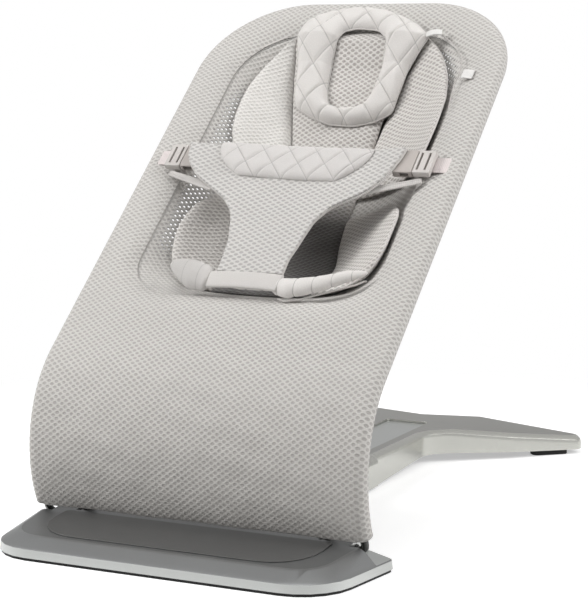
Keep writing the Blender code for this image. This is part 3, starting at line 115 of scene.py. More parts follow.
PILLOW_EDGE = ((-0.0301, 0.5742), (-0.0029, 0.5757), (0.0267, 0.5705), (0.0581, 0.556), (0.0777, 0.5436),
    (0.0975, 0.5235), (0.0855, 0.5072), (0.0738, 0.488), (0.0683, 0.4539), (0.065, 0.431), (0.0446, 0.4194),
    (0.017, 0.4132), (-0.0155, 0.415), (-0.0423, 0.4243), (-0.0641, 0.435), (-0.0705, 0.4473), (-0.0745, 0.4737),
    (-0.078, 0.5028), (-0.0832, 0.5317), (-0.0797, 0.55), (-0.0665, 0.563))
PILLOW_HOLE = ((-0.0208, 0.5346), (-0.0032, 0.5394), (0.0253, 0.536), (0.0415, 0.522), (0.0405, 0.4981),
    (0.0363, 0.4686), (0.0291, 0.4422), (0.0147, 0.4346), (-0.0071, 0.4345), (-0.0227, 0.4403), (-0.029, 0.4602),
    (-0.0305, 0.4938), (-0.027, 0.5186))
PILLOW_CENTRE = (0.002, 0.4887)

# Stitch lines: their pitch across and up, then x and s of one crossing

PILLOW_QUILT = (0.0384, 0.047, -0.0326, 0.4652)
BAND_QUILT = (0.0345, 0.042, -0.027, 0.288)
ROLL_QUILT = (0.0205, 1.0e6, 0.0475, 0.0)


# Seat coordinates

def together(*values):
    """Numbers or arrays side by side along a new last axis."""
    return np.stack(np.broadcast_arrays(*values), axis=-1)


def seat_place(x, s, d):
    """Turns seat coordinates into the row frame: a move to the knee's end, then a turn by the seat's angle about X."""
    up = s + KNEE_RADIUS * sin(KNEE_SWEEP)
    out = d + KNEE_RADIUS * (1.0 - cos(KNEE_SWEEP))
    y = PIVOT_Y + up * cos(SEAT_ANGLE) - out * sin(SEAT_ANGLE)
    z = PIVOT_Z + up * sin(SEAT_ANGLE) + out * cos(SEAT_ANGLE)
    return together(x, y, z)


def draped_place(x, run, d):
    """As seat_place, but cloth below run 0 turns round the knee: its angle is the run over the knee's radius."""
    turn = np.maximum(-run, 0.0) / KNEE_RADIUS
    radius = KNEE_RADIUS + d
    s = np.where(run < 0.0, -radius * np.sin(turn), run)
    out = np.where(run < 0.0, radius * np.cos(turn) - KNEE_RADIUS, d)
    return seat_place(x, s, out)


def ease(low, high, value):
    """Smooth step: 0 below low, 1 above high, and t squared times (3 - 2t) between them."""
    t = np.clip((value - low) / (high - low), 0.0, 1.0)
    return t * t * (3.0 - 2.0 * t)


def ripple(x, y, pitch, seed):
    """Soft unevenness of cloth: five sine waves of seeded directions and phases, summed and scaled to about 1."""
    pick = np.random.default_rng(seed)
    total = np.zeros(np.broadcast(x, y).shape)
    for _ in range(5):
        angle, phase, scale = (pick.uniform(0.0, pi), pick.uniform(0.0, tau), pick.uniform(0.7, 1.6))
        across = x * cos(angle) + y * sin(angle)
        total += np.sin(across * tau / (pitch * scale) + phase)
    return total / 2.6


def along(points, value):
    """Straight lines between measured points, averaged over 9 mm so that no corner shows."""
    at, amount = zip(*points)
    return sum(np.interp(value + t, at, amount) for t in np.linspace(-0.0045, 0.0045, 7)) / 7


def to_the_ends(count):
    """Numbers from -1 to 1 that lie closer together towards both ends."""
    return np.sin(np.linspace(-pi / 2, pi / 2, count))


def running_length(line):
    """The length of a line of points up to each of them."""
    steps = np.linalg.norm(np.diff(line, axis=0), axis=1)
    return np.concatenate(([0.0], np.cumsum(steps)))


def opening_half_width(s):
    """Half the opening's width at a row: straight sides, with a quarter circle at each corner."""
    under = np.clip(OPENING_LOW + LOW_CORNER - s, 0.0, LOW_CORNER)
    over = np.clip(s - OPENING_HIGH + HIGH_CORNER, 0.0, HIGH_CORNER)
    below = OPENING_HALF - LOW_CORNER + np.sqrt(LOW_CORNER ** 2 - under ** 2)
    above = OPENING_HALF - HIGH_CORNER + np.sqrt(HIGH_CORNER ** 2 - over ** 2)
    return np.minimum(below, above)


def well_face(share, s):
    """The mesh seat hangs as a hammock: depth times a sag along s, times one minus a power of the share of its
    width. Close to the rim its slope starts gently, to go on from the cover's."""
    run = np.clip((s - OPENING_LOW) / (OPENING_HIGH - OPENING_LOW), 0.0, 1.0)
    front = 1.0 - (1.0 - np.minimum(run, WELL_DEEPEST) / WELL_DEEPEST) ** 2
    back = 1.0 - (np.maximum(run - WELL_DEEPEST, 0.0) / (1.0 - WELL_DEEPEST)) ** 5
    sag = np.where(run < WELL_DEEPEST, front, back)
    share = np.minimum(np.abs(share), 1.0)
    gentle = 1.0 - RIM_EASE * np.exp(-(1.0 - share) / RIM_REACH)
    return WELL_RIM - WELL_DEPTH * sag * (1.0 - share ** WELL_POWER) * gentle


def panel_face(x):
    """The harness lies near the seat's middle and lifts over the buckles, with the square of x, then lies level."""
    return PANEL_D + PANEL_LIFT * (np.minimum(np.abs(x), PANEL_LEVEL) / PANEL_REACH) ** 2


# Meshes from arrays

def grid_faces(rows, columns, wrap_rows=False, wrap_columns=False):
    """Quads of a grid of vertices, each with its neighbours up the row and along the column."""
    i = np.arange(rows if wrap_rows else rows - 1)[:, None]
    j = np.arange(columns if wrap_columns else columns - 1)[None, :]
    down, right = (i + 1) % rows, (j + 1) % columns
    quads = together(i * columns + j, i * columns + right, down * columns + right, down * columns + j)
    return quads.reshape(-1, 4)


def into_scene(name, data):
    """Puts a mesh, a lamp or a camera into the scene."""
    made = bpy.data.objects.new(name, data)
    bpy.context.scene.collection.objects.link(made)
    return made


def lay(mesh, name, pairs):
    """Gives each point of a mesh a pair of numbers in a named layer, for the finishes."""
    corners = np.empty(len(mesh.loops), dtype=np.int64)
    mesh.loops.foreach_get("vertex_index", corners)
    pairs = np.asarray(pairs, float).reshape(-1, 2)
    mesh.uv_layers.new(name=name).data.foreach_set("uv", pairs[corners].ravel())


def new_piece(name, points, faces, finish, flat):
    """A mesh object that rides on the seat. flat gives each point its place on the cloth, in metres."""
    mesh = bpy.data.meshes.new(name)
    if isinstance(faces, np.ndarray):
        faces = faces.tolist()
    mesh.from_pydata(points.reshape(-1, 3).tolist(), [], faces)
    lay(mesh, "cloth", flat)
    mesh.polygons.foreach_set("use_smooth", np.ones(len(mesh.polygons), bool))
    mesh.update()
    piece = into_scene(name, mesh)
    mesh.materials.append(finish)
    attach(piece, "seat")
    return piece


def outward(piece, merge=False):
    """Turns a closed piece's faces outwards, and may first merge the points at seams and poles."""
    work = bmesh.new()
    work.from_mesh(piece.data)
    if merge:
        bmesh.ops.remove_doubles(work, verts=work.verts, dist=1e-6)
        bmesh.ops.dissolve_degenerate(work, edges=work.edges, dist=1e-7)
    bmesh.ops.recalc_face_normals(work, faces=work.faces)
    work.to_mesh(piece.data)
    work.free()


def as_sheet(piece, thickness):
    """Reads the size of its own net and the area of its face, which nothing then uses, and thickens it inwards."""
    net = np.empty(len(piece.data.loops) * 2)
    piece.data.uv_layers["cloth"].data.foreach_get("uv", net)
    net = net.reshape(-1, 2)
    area = np.empty(len(piece.data.polygons))
    piece.data.polygons.foreach_get("area", area)
    solid = piece.modifiers.new("thickness", "SOLIDIFY")
    solid.thickness, solid.offset = thickness, -1.0


def stuffed(name, x, s, heights, quads, finish, wall=None):
    """A stuffed piece: an upper and a lower face over one net of x and s, and a wall where they don't meet."""
    points = np.concatenate([seat_place(x, s, height).reshape(-1, 3) for height in heights])
    faces = [quads[:, ::-1], quads + x.size] + ([] if wall is None else [wall])
    flat = together(x, s).reshape(-1, 2)
    piece = new_piece(name, points, np.concatenate(faces), finish, np.concatenate((flat, flat)))
    outward(piece, merge=True)
    return piece


def along_path(path, profile, closed, wide):
    """Carries a profile of (across, out) pairs along a path: out is the seat's normal made square to the path, and
    across is tangent x out, scaled by wide."""
    if closed:
        tangent = np.roll(path, -1, 0) - np.roll(path, 1, 0)
    else:
        tangent = np.gradient(path, axis=0)
    tangent /= np.linalg.norm(tangent, axis=1, keepdims=True)
    normal = SEAT_OUT - (SEAT_OUT * tangent).sum(1, keepdims=True) * tangent
    normal /= np.linalg.norm(normal, axis=1, keepdims=True)
    across = np.cross(tangent, normal) * np.broadcast_to(wide, len(path))[:, None]
    return path[:, None] + across[:, None] * profile[None, :, :1] + normal[:, None] * profile[None, :, 1:]


def oval(width, height, steps, power=1.0):
    """A closed oval: cosine and sine to a power, across and out."""
    angle = np.linspace(0.0, tau, steps, endpoint=False)
    c, n = np.cos(angle), np.sin(angle)
    return together(width / 2 * np.sign(c) * np.abs(c) ** power, height / 2 * np.sign(n) * np.abs(n) ** power)


def carried(name, path, profile, finish, closed=False, wide=1.0):
    """A closed profile along a path, with flat ends unless the path is a loop. Its place on the cloth is the length
    along the path and the girth of the profile before wide scales it."""
    points = along_path(path, profile, closed, wide)
    rows, columns = points.shape[:2]
    faces = grid_faces(rows, columns, wrap_rows=closed, wrap_columns=True).tolist()
    if not closed:
        faces += [list(range(columns))[::-1], list(range((rows - 1) * columns, rows * columns))]
    flat = together(running_length(path)[:, None], running_length(profile)[None])
    piece = new_piece(name, points, faces, finish, flat)
    outward(piece)
    return piece


# Shader maths

def maths(operation):
    """A method that adds a Math node of one operation, with the socket first."""
    return lambda self, *others: self.calc(operation, self, *others)


class Shade:
    """A socket whose arithmetic adds the Math node that works it out."""

    def __init__(self, tree, socket):
        self.tree, self.socket = tree, socket

    def calc(self, operation, *values):
        node = self.tree.nodes.new("ShaderNodeMath")
        node.operation = operation
        for place, value in zip(node.inputs, values):
            if isinstance(value, Shade):
                self.tree.links.new(value.socket, place)
            else:
                place.default_value = value
        return Shade(self.tree, node.outputs[0])

    def __rsub__(self, other):
        return self.calc("SUBTRACT", other, self)

    __add__ = __radd__ = maths("ADD")
    __sub__, __mul__ = maths("SUBTRACT"), maths("MULTIPLY")
    __truediv__, __pow__ = maths("DIVIDE"), maths("POWER")
    lowest, highest = maths("MINIMUM"), maths("MAXIMUM")
    part, size, root, wave = maths("FRACT"), maths("ABSOLUTE"), maths("SQRT"), maths("SINE")


class Nodes:
    """A node tree, and short ways to add to it."""

    def __init__(self, tree):
        self.tree = tree

    def node(self, kind, settings=None, values=None, output=0):
        """Adds a node: its type, settings, the values or links of its sockets, and the output used."""
        node = self.tree.nodes.new("ShaderNode" + kind)
        for key, value in (settings or {}).items():
            setattr(node, key, value)
        for key, value in (values or {}).items():
            if isinstance(value, Shade):
                self.tree.links.new(value.socket, node.inputs[key])
            else:
                node.inputs[key].default_value = value
        return Shade(self.tree, node.outputs[output])

    def step(self, value, low, high):
        """Smooth step of a value from low to high."""
        return self.node("MapRange", {"interpolation_type": "SMOOTHSTEP"},
                         {"Value": value, "From Min": low, "From Max": high})

    def band(self, value, start, full, end, gone):
        """1 between full and end, and falls smoothly to 0 at start and at gone."""
        return self.step(value, start, full) * (1.0 - self.step(value, end, gone))


class Finish(Nodes):
    """A Principled material, and the nodes that vary it."""

    def __init__(self, name, colour, roughness, metallic=0.0, **sockets):
        self.material = bpy.data.materials.new(name)
        self.material.use_nodes = True
        super().__init__(self.material.node_tree)
        self.shader = self.tree.nodes["Principled BSDF"]
        self.material.diffuse_color = (*colour, 1.0)
        sockets.update(Base_Color=(*colour, 1.0), Roughness=roughness, Metallic=metallic)
        for socket, value in sockets.items():
            self.shader.inputs[socket.replace("_", " ")].default_value = value

    def feed(self, socket, shade):
        self.tree.links.new(shade.socket, self.shader.inputs[socket])

    def layer(self, name="cloth"):
        """The pair of numbers that a layer gives the piece, as a vector and one by one."""
        both = self.node("UVMap", {"uv_map": name})
        return both, *[self.node("SeparateXYZ", None, {0: both}, k) for k in (0, 1)]

    def noise(self, vector, scale, detail=3.0):
        return self.node("TexNoise", None,
                         {"Vector": vector, "Scale": scale, "Detail": detail, "Roughness": 0.55}, "Fac")

    def mix(self, factor, first, second):
        """Mixes two colours, each a tuple or a link."""
        values = {0: factor}
        for key, value in ((6, first), (7, second)):
            values[key] = value if isinstance(value, Shade) else (*value, 1.0)
        return self.node("Mix", {"data_type": "RGBA"}, values, 2)

    def bump(self, height, distance, strength):
        self.feed("Normal", self.node("Bump", None, {"Height": height, "Distance": distance, "Strength": strength}))


def srgb(red, green, blue):
    """A colour as the eye reads it, 0 to 255, made linear."""
    return tuple((c / 255 / 12.92) if c <= 10.3 else ((c / 255 + 0.055) / 1.055) ** 2.4 for c in (red, green, blue))


def toned(colour, amount):
    """A colour made darker or lighter."""
    return tuple(min(c * amount, 1.0) for c in colour)


# Finishes

def dot_mesh(name, thread, hollow, cell, see_through=False, painted_low_shadow=False):
    """Spacer mesh: staggered oval hollows, two in each cell, between plump knitted threads. see_through lets what
    is behind show, in two bands near the left edge and one near the right, and darkens the threads there as
    painted shade. The last flag paints the harness's shadow: a near-black tint low in the seat."""
    made = Finish(name, thread, 0.86, Sheen_Weight=0.25, Sheen_Roughness=0.5)
    both, u, v = made.layer()
    across, up = u / cell[0], v / cell[1]
    near = ((across.part() - 0.5).size(), (up.part() - 0.5).size())
    far = (0.5 - near[0], 0.5 - near[1])

    def radius(pair):
        return ((pair[0] * 4.1) ** 2.0 + (pair[1] * 3.9) ** 2.0).root()

    ring = radius(near).lowest(radius(far))
    hole = 1.0 - made.step(ring, 0.66, 1.34)
    knit = made.noise(both, 900.0, 2.0)
    patch = made.noise(both, 9.0, 4.0)
    tint = made.mix(hole, thread, hollow)
    tint = made.mix(made.step(knit, 0.35, 0.75) * 0.3, tint, toned(thread, 1.25))
    tint = made.mix(made.step(patch, 0.3, 0.7) * 0.12, tint, toned(thread, 0.72))
    # Painted shadow of the harness: the mesh low in the seat turns nearly black.
    if painted_low_shadow:
        tint = made.mix((1.0 - made.step(v, 0.262, 0.318)) * 0.88, tint, toned(thread, 0.08))
    if see_through:
        _, share, s = made.layer("net")
        left = made.band(share, -0.975, -0.935, -0.86, -0.76)
        low, high = made.band(s, 0.15, 0.2, 0.296, 0.316), made.band(s, 0.325, 0.35, 0.42, 0.47)
        right, top = made.band(share, 0.78, 0.84, 0.9, 0.96), made.band(s, 0.435, 0.465, 0.505, 0.53)
        clear = (left * (low + high)).highest(right * top)
        # Painted shade: the threads of the see-through bands are darkened.
        tint = made.mix(clear * 0.26, tint, toned(thread, 0.3))
        made.feed("Alpha", 1.0 - (1.0 - made.step(ring, 0.66, 0.86)) * clear)
    made.feed("Base Color", tint)
    made.bump(1.0 - hole + knit * 0.25, 0.0009, 0.8)
    return made.material


def quilted_cloth(name, colour, weave=0.0011, diamonds=None, painted_shade=None):
    """Fine woven cloth: two crossed sine threads, with a little fluff and a slow change of tone. Where it is
    quilted, the stitch lines x / p + s / q and x / p - s / q are darker at whole numbers, over about a millimetre.
    The last argument paints shade: the x up to which the cloth is darker, the x where that ends, and by how much."""
    made = Finish(name, colour, 0.82, Sheen_Weight=0.3, Sheen_Roughness=0.5)
    both, u, v = made.layer()
    warp, weft = (u * (tau / weave)).wave(), (v * (tau / weave)).wave()
    thread = warp * weft * 0.5 + 0.5
    fluff = made.noise(both, 700.0)
    patch = made.noise(both, 14.0)
    tint = made.mix(made.step(fluff, 0.3, 0.8) * 0.35 + thread * 0.2, toned(colour, 0.86), toned(colour, 1.1))
    tint = made.mix(made.step(patch, 0.3, 0.7) * 0.1, tint, toned(colour, 0.74))
    if diamonds:
        pitch, rise, crossing_x, crossing_s = diamonds
        for sign in (1.0, -1.0):
            line = (u - crossing_x) / pitch + (v - crossing_s) * (sign / rise)
            near = 0.5 - (line.part() - 0.5).size()
            tint = made.mix((1.0 - made.step(near, 0.006, 0.028)) * 0.5, tint, toned(colour, 0.45))
    # Painted shade: the cloth darkens towards low x, where the harness shades the roll.
    if painted_shade:
        full, gone, amount = painted_shade
        tint = made.mix((1.0 - made.step(u, full, gone)) * amount, tint, toned(colour, 0.45))
    made.feed("Base Color", tint)
    made.bump(thread + fluff * 0.8, 0.0005, 0.6)
    return made.material


def ribbed_webbing(name, colour):
    """Webbing: ribs across its length, a finer warp along it."""
    made = Finish(name, colour, 0.74, Sheen_Weight=0.2)
    both, u, v = made.layer()
    rib = (u * (tau / 0.0022)).wave() * 0.5 + 0.5
    warp = (v * (tau / 0.0013)).wave() * 0.5 + 0.5
    fluff = made.noise(both, 600.0, 2.0)
    made.feed("Base Color", made.mix(rib * warp * 0.55 + fluff * 0.2, toned(colour, 0.8), toned(colour, 1.08)))
    made.bump(rib * 0.7 + warp * 0.3 + fluff * 0.3, 0.0005, 0.7)
    return made.material


def satin_coat(name, colour, roughness, metallic, grain=2600.0, speckle=0.05, coat=0.0):
    """Satin paint on metal: fine grain in tone and gloss, faint cloudiness."""
    made = Finish(name, colour, roughness, metallic, Coat_Weight=coat, Coat_Roughness=0.25)
    spot = made.node("TexCoord", output="Object")
    fine = made.noise(spot, grain, 2.0)
    cloud = made.noise(spot, 18.0)
    made.feed("Base Color", made.mix(made.step(fine, 0.3, 0.7), toned(colour, 1.0 - speckle),
                                     toned(colour, 1.0 + speckle)))
    made.feed("Roughness", roughness * 0.9 + fine * (roughness * 0.14)
              + made.step(cloud, 0.3, 0.7) * (roughness * 0.08))
    made.bump(fine, 0.00006, 0.35)
    return made.material


def moulded(name, colour, roughness, grain=1500.0, depth=0.00008):
    """Moulded plastic or rubber: a spark-eroded grain, slightly uneven gloss."""
    made = Finish(name, colour, roughness)
    spot = made.node("TexCoord", output="Object")
    fine = made.noise(spot, grain)
    cloud = made.noise(spot, 25.0, 2.0)
    made.feed("Base Color", made.mix(made.step(cloud, 0.3, 0.7), toned(colour, 0.95), toned(colour, 1.05)))
    made.feed("Roughness", roughness * 0.88 + fine * (roughness * 0.24))
    made.bump(fine, depth, 0.5)
    return made.material


COVER_MESH = dot_mesh("cover_spacer_mesh", srgb(198, 195, 191), srgb(166, 162, 158), (0.0092, 0.0066))
WELL_MESH = dot_mesh("seat_spacer_mesh", srgb(206, 203, 199), srgb(174, 170, 166), (0.0096, 0.0074),
                     see_through=True)
INSERT_LOOK = (srgb(208, 204, 200), srgb(160, 155, 150), (0.01, 0.0062))
INSERT_MESH = dot_mesh("insert_spacer_mesh", *INSERT_LOOK)
SHADED_BACK_MESH = dot_mesh("insert_back_mesh_painted_shadow", *INSERT_LOOK, painted_low_shadow=True)
# Painted light: a lighter copy of the insert's mesh, used on the left upper wing only.
LIT_WING_MESH = dot_mesh("wing_spacer_mesh_painted_light", srgb(222, 219, 215), srgb(198, 194, 190), (0.009, 0.0058))
HARNESS_MESH = dot_mesh("harness_spacer_mesh", srgb(200, 197, 194), srgb(162, 159, 156), (0.0112, 0.007))
QUILT = quilted_cloth("soft_cotton", srgb(213, 209, 205))
PILLOW_CLOTH = quilted_cloth("quilted_pillow_cotton", srgb(228, 224, 220), diamonds=PILLOW_QUILT)
# The roll's left end, under the harness, gets painted shade.
ROLL_CLOTH = quilted_cloth("stitched_roll_cotton", srgb(230, 226, 222), diamonds=ROLL_QUILT,
                           painted_shade=(-0.056, -0.026, 0.52))
BAND_CLOTH = quilted_cloth("quilted_band_cotton", srgb(217, 213, 210), diamonds=BAND_QUILT)
LINING = quilted_cloth("plain_lining", srgb(196, 191, 187), 0.0014)
BINDING = ribbed_webbing("edge_binding", srgb(214, 210, 206))
WEBBING = ribbed_webbing("harness_webbing", srgb(229, 219, 217))
LABEL = quilted_cloth("blank_label_cloth", srgb(236, 234, 231), 0.0009)
COVER_EDGE = quilted_cloth("seam_thread", srgb(204, 201, 197), 0.0008)
SILVER = satin_coat("satin_silver", srgb(189, 191, 189), 0.3, 0.82, coat=0.1)
# Painted shade and reflection: the next three are darker copies of the satin silver for level tops and slopes.
SILVER_SHADED_TOP = satin_coat("satin_silver_top_painted_shade", srgb(116, 117, 117), 0.38, 0.7, coat=0.1)
LEG_SHADED_TOP = satin_coat("satin_silver_leg_top_painted_shade", srgb(160, 159, 155), 0.32, 0.8, coat=0.1)
SILVER_SHADED_SLOPE = satin_coat("satin_silver_slope_painted_shade", srgb(139, 140, 140), 0.34, 0.78, coat=0.1)
# Painted light: a lighter, warmer copy of the satin silver for the leg's sides.
LEG_LIT_SIDE = satin_coat("satin_silver_leg_side_painted_light", srgb(194, 194, 188), 0.26, 0.76, coat=0.15)
INLAY = satin_coat("dark_inlay", srgb(92, 92, 91), 0.5, 0.5, 3200.0, 0.16)
BLACK_COAT = satin_coat("black_rod_coat", srgb(34, 34, 33), 0.3, 0.0, 2200.0, 0.1, coat=0.4)
BLACK_PLASTIC = moulded("black_underside", srgb(38, 38, 38), 0.55)
RUBBER = moulded("black_rubber", srgb(28, 28, 28), 0.78, 900.0, 0.00012)
BUCKLE = moulded("buckle_plastic", srgb(192, 187, 183), 0.42)
BUCKLE_DARK = moulded("buckle_plastic_deep", srgb(172, 165, 160), 0.46)
STEEL = satin_coat("zinc_steel", srgb(150, 151, 152), 0.34, 0.9)


# Cover

OUTLINE_STEP = 0.0042
KNEE_DRAW = 0.0042
LIP_DEPTH, LIP_REACH = 0.0098, 0.044
WEBBING_DENT = 0.0022
COVER_CLOTH, NET_CLOTH, HARNESS_CLOTH = 0.0018, 0.0008, 0.0022


def opening_loop(steps=1440):
    """The opening's outline as a radius for each direction from its middle, worked out by bisection of its edge."""
    angle = np.linspace(-pi, pi, steps, endpoint=False)
    near, far = np.zeros(steps), np.full(steps, 0.4)
    for _ in range(40):
        middle = (near + far) / 2
        x, s = middle * np.sin(angle), OPENING_MIDDLE + middle * np.cos(angle)
        half = opening_half_width(np.clip(s, OPENING_LOW, OPENING_HIGH))
        inside = (s > OPENING_LOW) & (s < OPENING_HIGH) & (np.abs(x) < half)
        near, far = np.where(inside, middle, near), np.where(inside, far, middle)
    return angle, near


def cover_outline():
    """The line on the tube's crown from the left hem round the top to the right hem, then back along the hem: its
    points, the direction away from the cover at each, and which of them lie on the tube."""
    turn = np.linspace(0.0, pi / 2, 40)
    inner, top = TUBE_X - TUBE_CORNER, TUBE_TOP - TUBE_CORNER
    left = together(-inner - TUBE_CORNER * np.cos(turn), top + TUBE_CORNER * np.sin(turn))
    right = together(inner + TUBE_CORNER * np.sin(turn), top + TUBE_CORNER * np.cos(turn))
    line = np.concatenate(([(-TUBE_X, HEM_RUN)], left, right, [(TUBE_X, HEM_RUN)]))
    length = running_length(line)
    at = np.linspace(0.0, length[-1], int(length[-1] / OUTLINE_STEP) + 1)
    tube = together(np.interp(at, length, line[:, 0]), np.interp(at, length, line[:, 1]))
    out = np.gradient(tube, axis=0)
    out = together(-out[:, 1], out[:, 0])
    out /= np.linalg.norm(out, axis=1, keepdims=True)
    across = np.linspace(TUBE_X, -TUBE_X, int(2 * TUBE_X / OUTLINE_STEP) + 1)[1:-1]
    hem, down = together(across, HEM_RUN), np.tile((0.0, -1.0), (len(across), 1))
    on_tube = np.arange(len(tube) + len(hem)) < len(tube)
    return np.concatenate((tube, hem)), np.concatenate((out, down)), on_tube


def cover_height(x, run, from_opening):
    """The cover's face: flat between the tubes, drawn in over the knee, dipping to the seam round the opening and
    a little under the webbing."""
    apron = ease(0.07, -0.02, run) * (1.0 - ease(HEM_RUN + 0.05, HEM_RUN, run) * 0.55)
    draw = -KNEE_DRAW * apron * (1.0 - (np.abs(x) / TUBE_X) ** 2.4)
    lip = -LIP_DEPTH * np.clip(1.0 - from_opening / LIP_REACH, 0.0, 1.0) ** 2.4
    side = ease(0.0, 0.03, TUBE_X - np.abs(x))
    webbing = ease(0.139, 0.145, np.abs(x)) * ease(0.286, 0.291, run) * (1.0 - ease(0.317, 0.322, run))
    side = side * (1.0 - webbing)
    draw = draw - WEBBING_DENT * webbing
    soft = 0.00075 * ripple(x, run, 0.085, 3) * side + 0.0005 * ripple(x, run, 0.038, 8) * side * apron
    return SHEET_TOP + draw + lip + soft * ease(0.0, 0.02, from_opening)


def seat_cover():
    """Rays from the opening's middle carry the sheet from the seam to the tube; it wraps the tube and comes back
    under it. At the hem it turns under in a narrow fold."""
    rim, out, on_tube = cover_outline()
    middle = np.array((0.0, OPENING_MIDDLE))
    direction = np.arctan2(rim[:, 0], rim[:, 1] - middle[1])
    inner = np.interp(direction, *opening_loop(), period=tau)
    seam = middle + together(np.sin(direction), np.cos(direction)) * inner[:, None]
    rows = 64
    share = np.linspace(0.0, 1.0, rows) ** 1.15
    flat = seam[None] + (rim - seam)[None] * share[:, None, None]
    gap = np.linalg.norm(flat - seam[None], axis=-1)
    height = cover_height(flat[..., 0], flat[..., 1], gap)
    crown = ease(0.0, 0.018, np.linalg.norm(flat - rim[None], axis=-1))
    height = np.where(on_tube[None], COVER_RADIUS + (height - COVER_RADIUS) * crown, height)
    sheet = draped_place(flat[..., 0], flat[..., 1], height)

    beta = np.linspace(0.0, pi, 15)[1:]
    back = np.arange(1, 6)
    offset = np.concatenate((COVER_RADIUS * np.sin(beta), -0.0032 * back))
    lift = np.concatenate((COVER_RADIUS * np.cos(beta), -COVER_RADIUS + (COVER_RADIUS + 0.0048) * (back / 5) ** 1.7))
    hem_offset = np.concatenate((0.0012 * np.sin(beta), -0.0024 * back))
    hem_lift = np.concatenate((0.0058 + 0.0012 * np.cos(beta), np.full(5, 0.0046)))
    reach = np.where(on_tube[None], offset[:, None], hem_offset[:, None])
    rise = np.where(on_tube[None], lift[:, None], hem_lift[:, None] + (height[-1][None] - 0.007))
    wrap_flat = rim[None] + out[None] * reach[..., None]
    wrap = draped_place(wrap_flat[..., 0], wrap_flat[..., 1], rise)
    girth = np.concatenate((beta * COVER_RADIUS, pi * COVER_RADIUS + 0.0035 * back))
    wrap_uv = rim[None] + out[None] * girth[:, None, None]

    points = np.concatenate((sheet, wrap))
    uv = np.concatenate((flat, wrap_uv))
    count = len(rim)
    faces = grid_faces(len(points), count, wrap_columns=True)
    row, column = faces[:, 0] // count, faces[:, 0] % count
    last = int(on_tube.sum()) - 1
    torn = (row >= rows - 1) & ((column == last) | (column == count - 1))
    piece = new_piece("seat_cover_sheet", points, faces[~torn][:, ::-1], COVER_MESH, uv)
    as_sheet(piece, COVER_CLOTH)
    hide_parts("seat_cover")


def seam_round_opening():
    """A fine cord of the cover's cloth along the seam between the cover and the mesh seat."""
    angle, radius = opening_loop(720)
    radius = radius - 0.0012
    path = seat_place(radius * np.sin(angle), OPENING_MIDDLE + radius * np.cos(angle), -0.0013)
    piece = carried("opening_seam", path, oval(0.0017, 0.0012, 10), COVER_EDGE, closed=True)
    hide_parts("well_piping")


def mesh_seat():
    """The hammock's face on a grid of width shares and rows, closer together at its rounded ends."""
    even = np.linspace(0.0, 1.0, 120)
    s = OPENING_LOW + (OPENING_HIGH - OPENING_LOW) * (0.4 * even + 0.6 * (0.5 - 0.5 * np.cos(pi * even)))
    share = np.linspace(-1.0, 1.0, 101)
    share = np.sign(share) * np.abs(share) ** 0.9
    x = share[None] * (opening_half_width(s)[:, None] + 0.0005)
    points = seat_place(x, s[:, None], well_face(share[None], s[:, None]) - 0.0006)
    span = np.linalg.norm(np.diff(points, axis=1), axis=-1)
    width = np.concatenate((np.zeros((len(s), 1)), np.cumsum(span, 1)), 1)
    middle = len(share) // 2
    uv = together(width - width[:, middle, None], running_length(points[:, middle])[:, None])
    quads = grid_faces(len(s), len(share))[:, ::-1]
    piece = new_piece("mesh_seat", points, quads, WELL_MESH, uv)
    lay(piece.data, "net", together(share[None], s[:, None]))
    as_sheet(piece, NET_CLOTH)
    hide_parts("seat_well")


# Newborn insert

BACK_THICKNESS, WING_THICKNESS = 0.0085, 0.019


def pad_form(name, inner, outer, ends_at, thickness, finish, seams=(0.06, 0.5), powers=(4.5, 4.0), rows=90,
             columns=60, ends=3.0, lift=None):
    """A stuffed panel on the mesh seat, from share inner(s) to share outer(s). At u across it and v along it, -1 to
    1, its face stands thickness times the root of (1 - |u|^p)(1 - |v|^q) above the seam, and its underside rises to
    meet it there. lift(s) is the lowest that its underside may lie."""
    v, u = to_the_ends(rows)[:, None], to_the_ends(columns)[None]
    s = (ends_at[0] + ends_at[1]) / 2 + (ends_at[1] - ends_at[0]) / 2 * v
    mix = (u + 1.0) / 2
    share = inner(s) + (outer(s) - inner(s)) * mix
    x = share * opening_half_width(s)
    s = s + 0.0 * x
    power = powers[0] + (powers[1] - powers[0]) * mix
    seam = seams[0] + (seams[1] - seams[0]) * mix
    crown = np.sqrt(np.clip((1.0 - np.abs(u) ** power) * (1.0 - np.abs(v) ** ends), 0.0, 1.0))
    low = well_face(share, s) + 0.001
    if lift is not None:
        low = np.maximum(low, lift(s))
    soft = 0.0008 * ripple(x, s + 0.3, 0.045, len(name)) * crown
    top = low + thickness * (seam + (1.0 - seam) * crown) + soft
    bottom = low + thickness * seam * (1.0 - crown)
    quads = grid_faces(rows, columns)
    if outer(0.5) < inner(0.5):
        quads = quads[:, ::-1]
    return stuffed(name, x, s, (top, bottom), quads, finish)


def puff(quilt, x, s):
    """Diamond quilting, 0 on two sets of slanted stitch lines and 1 between them: 1 - exp(-gap / 0.05) for each."""
    pitch, rise, crossing_x, crossing_s = quilt
    across, up = (x - crossing_x) / pitch, (s - crossing_s) / rise
    near = [np.abs(line - np.round(line)) for line in (across + up, across - up)]
    return (1.0 - np.exp(-near[0] / 0.05)) * (1.0 - np.exp(-near[1] / 0.05))


def measured(table, side):
    """A measured line as a function of s: its share of the opening's half width, below 0 on the left."""
    sign = dict(SIDES)[side]
    return lambda s: sign * along(table[side], s)


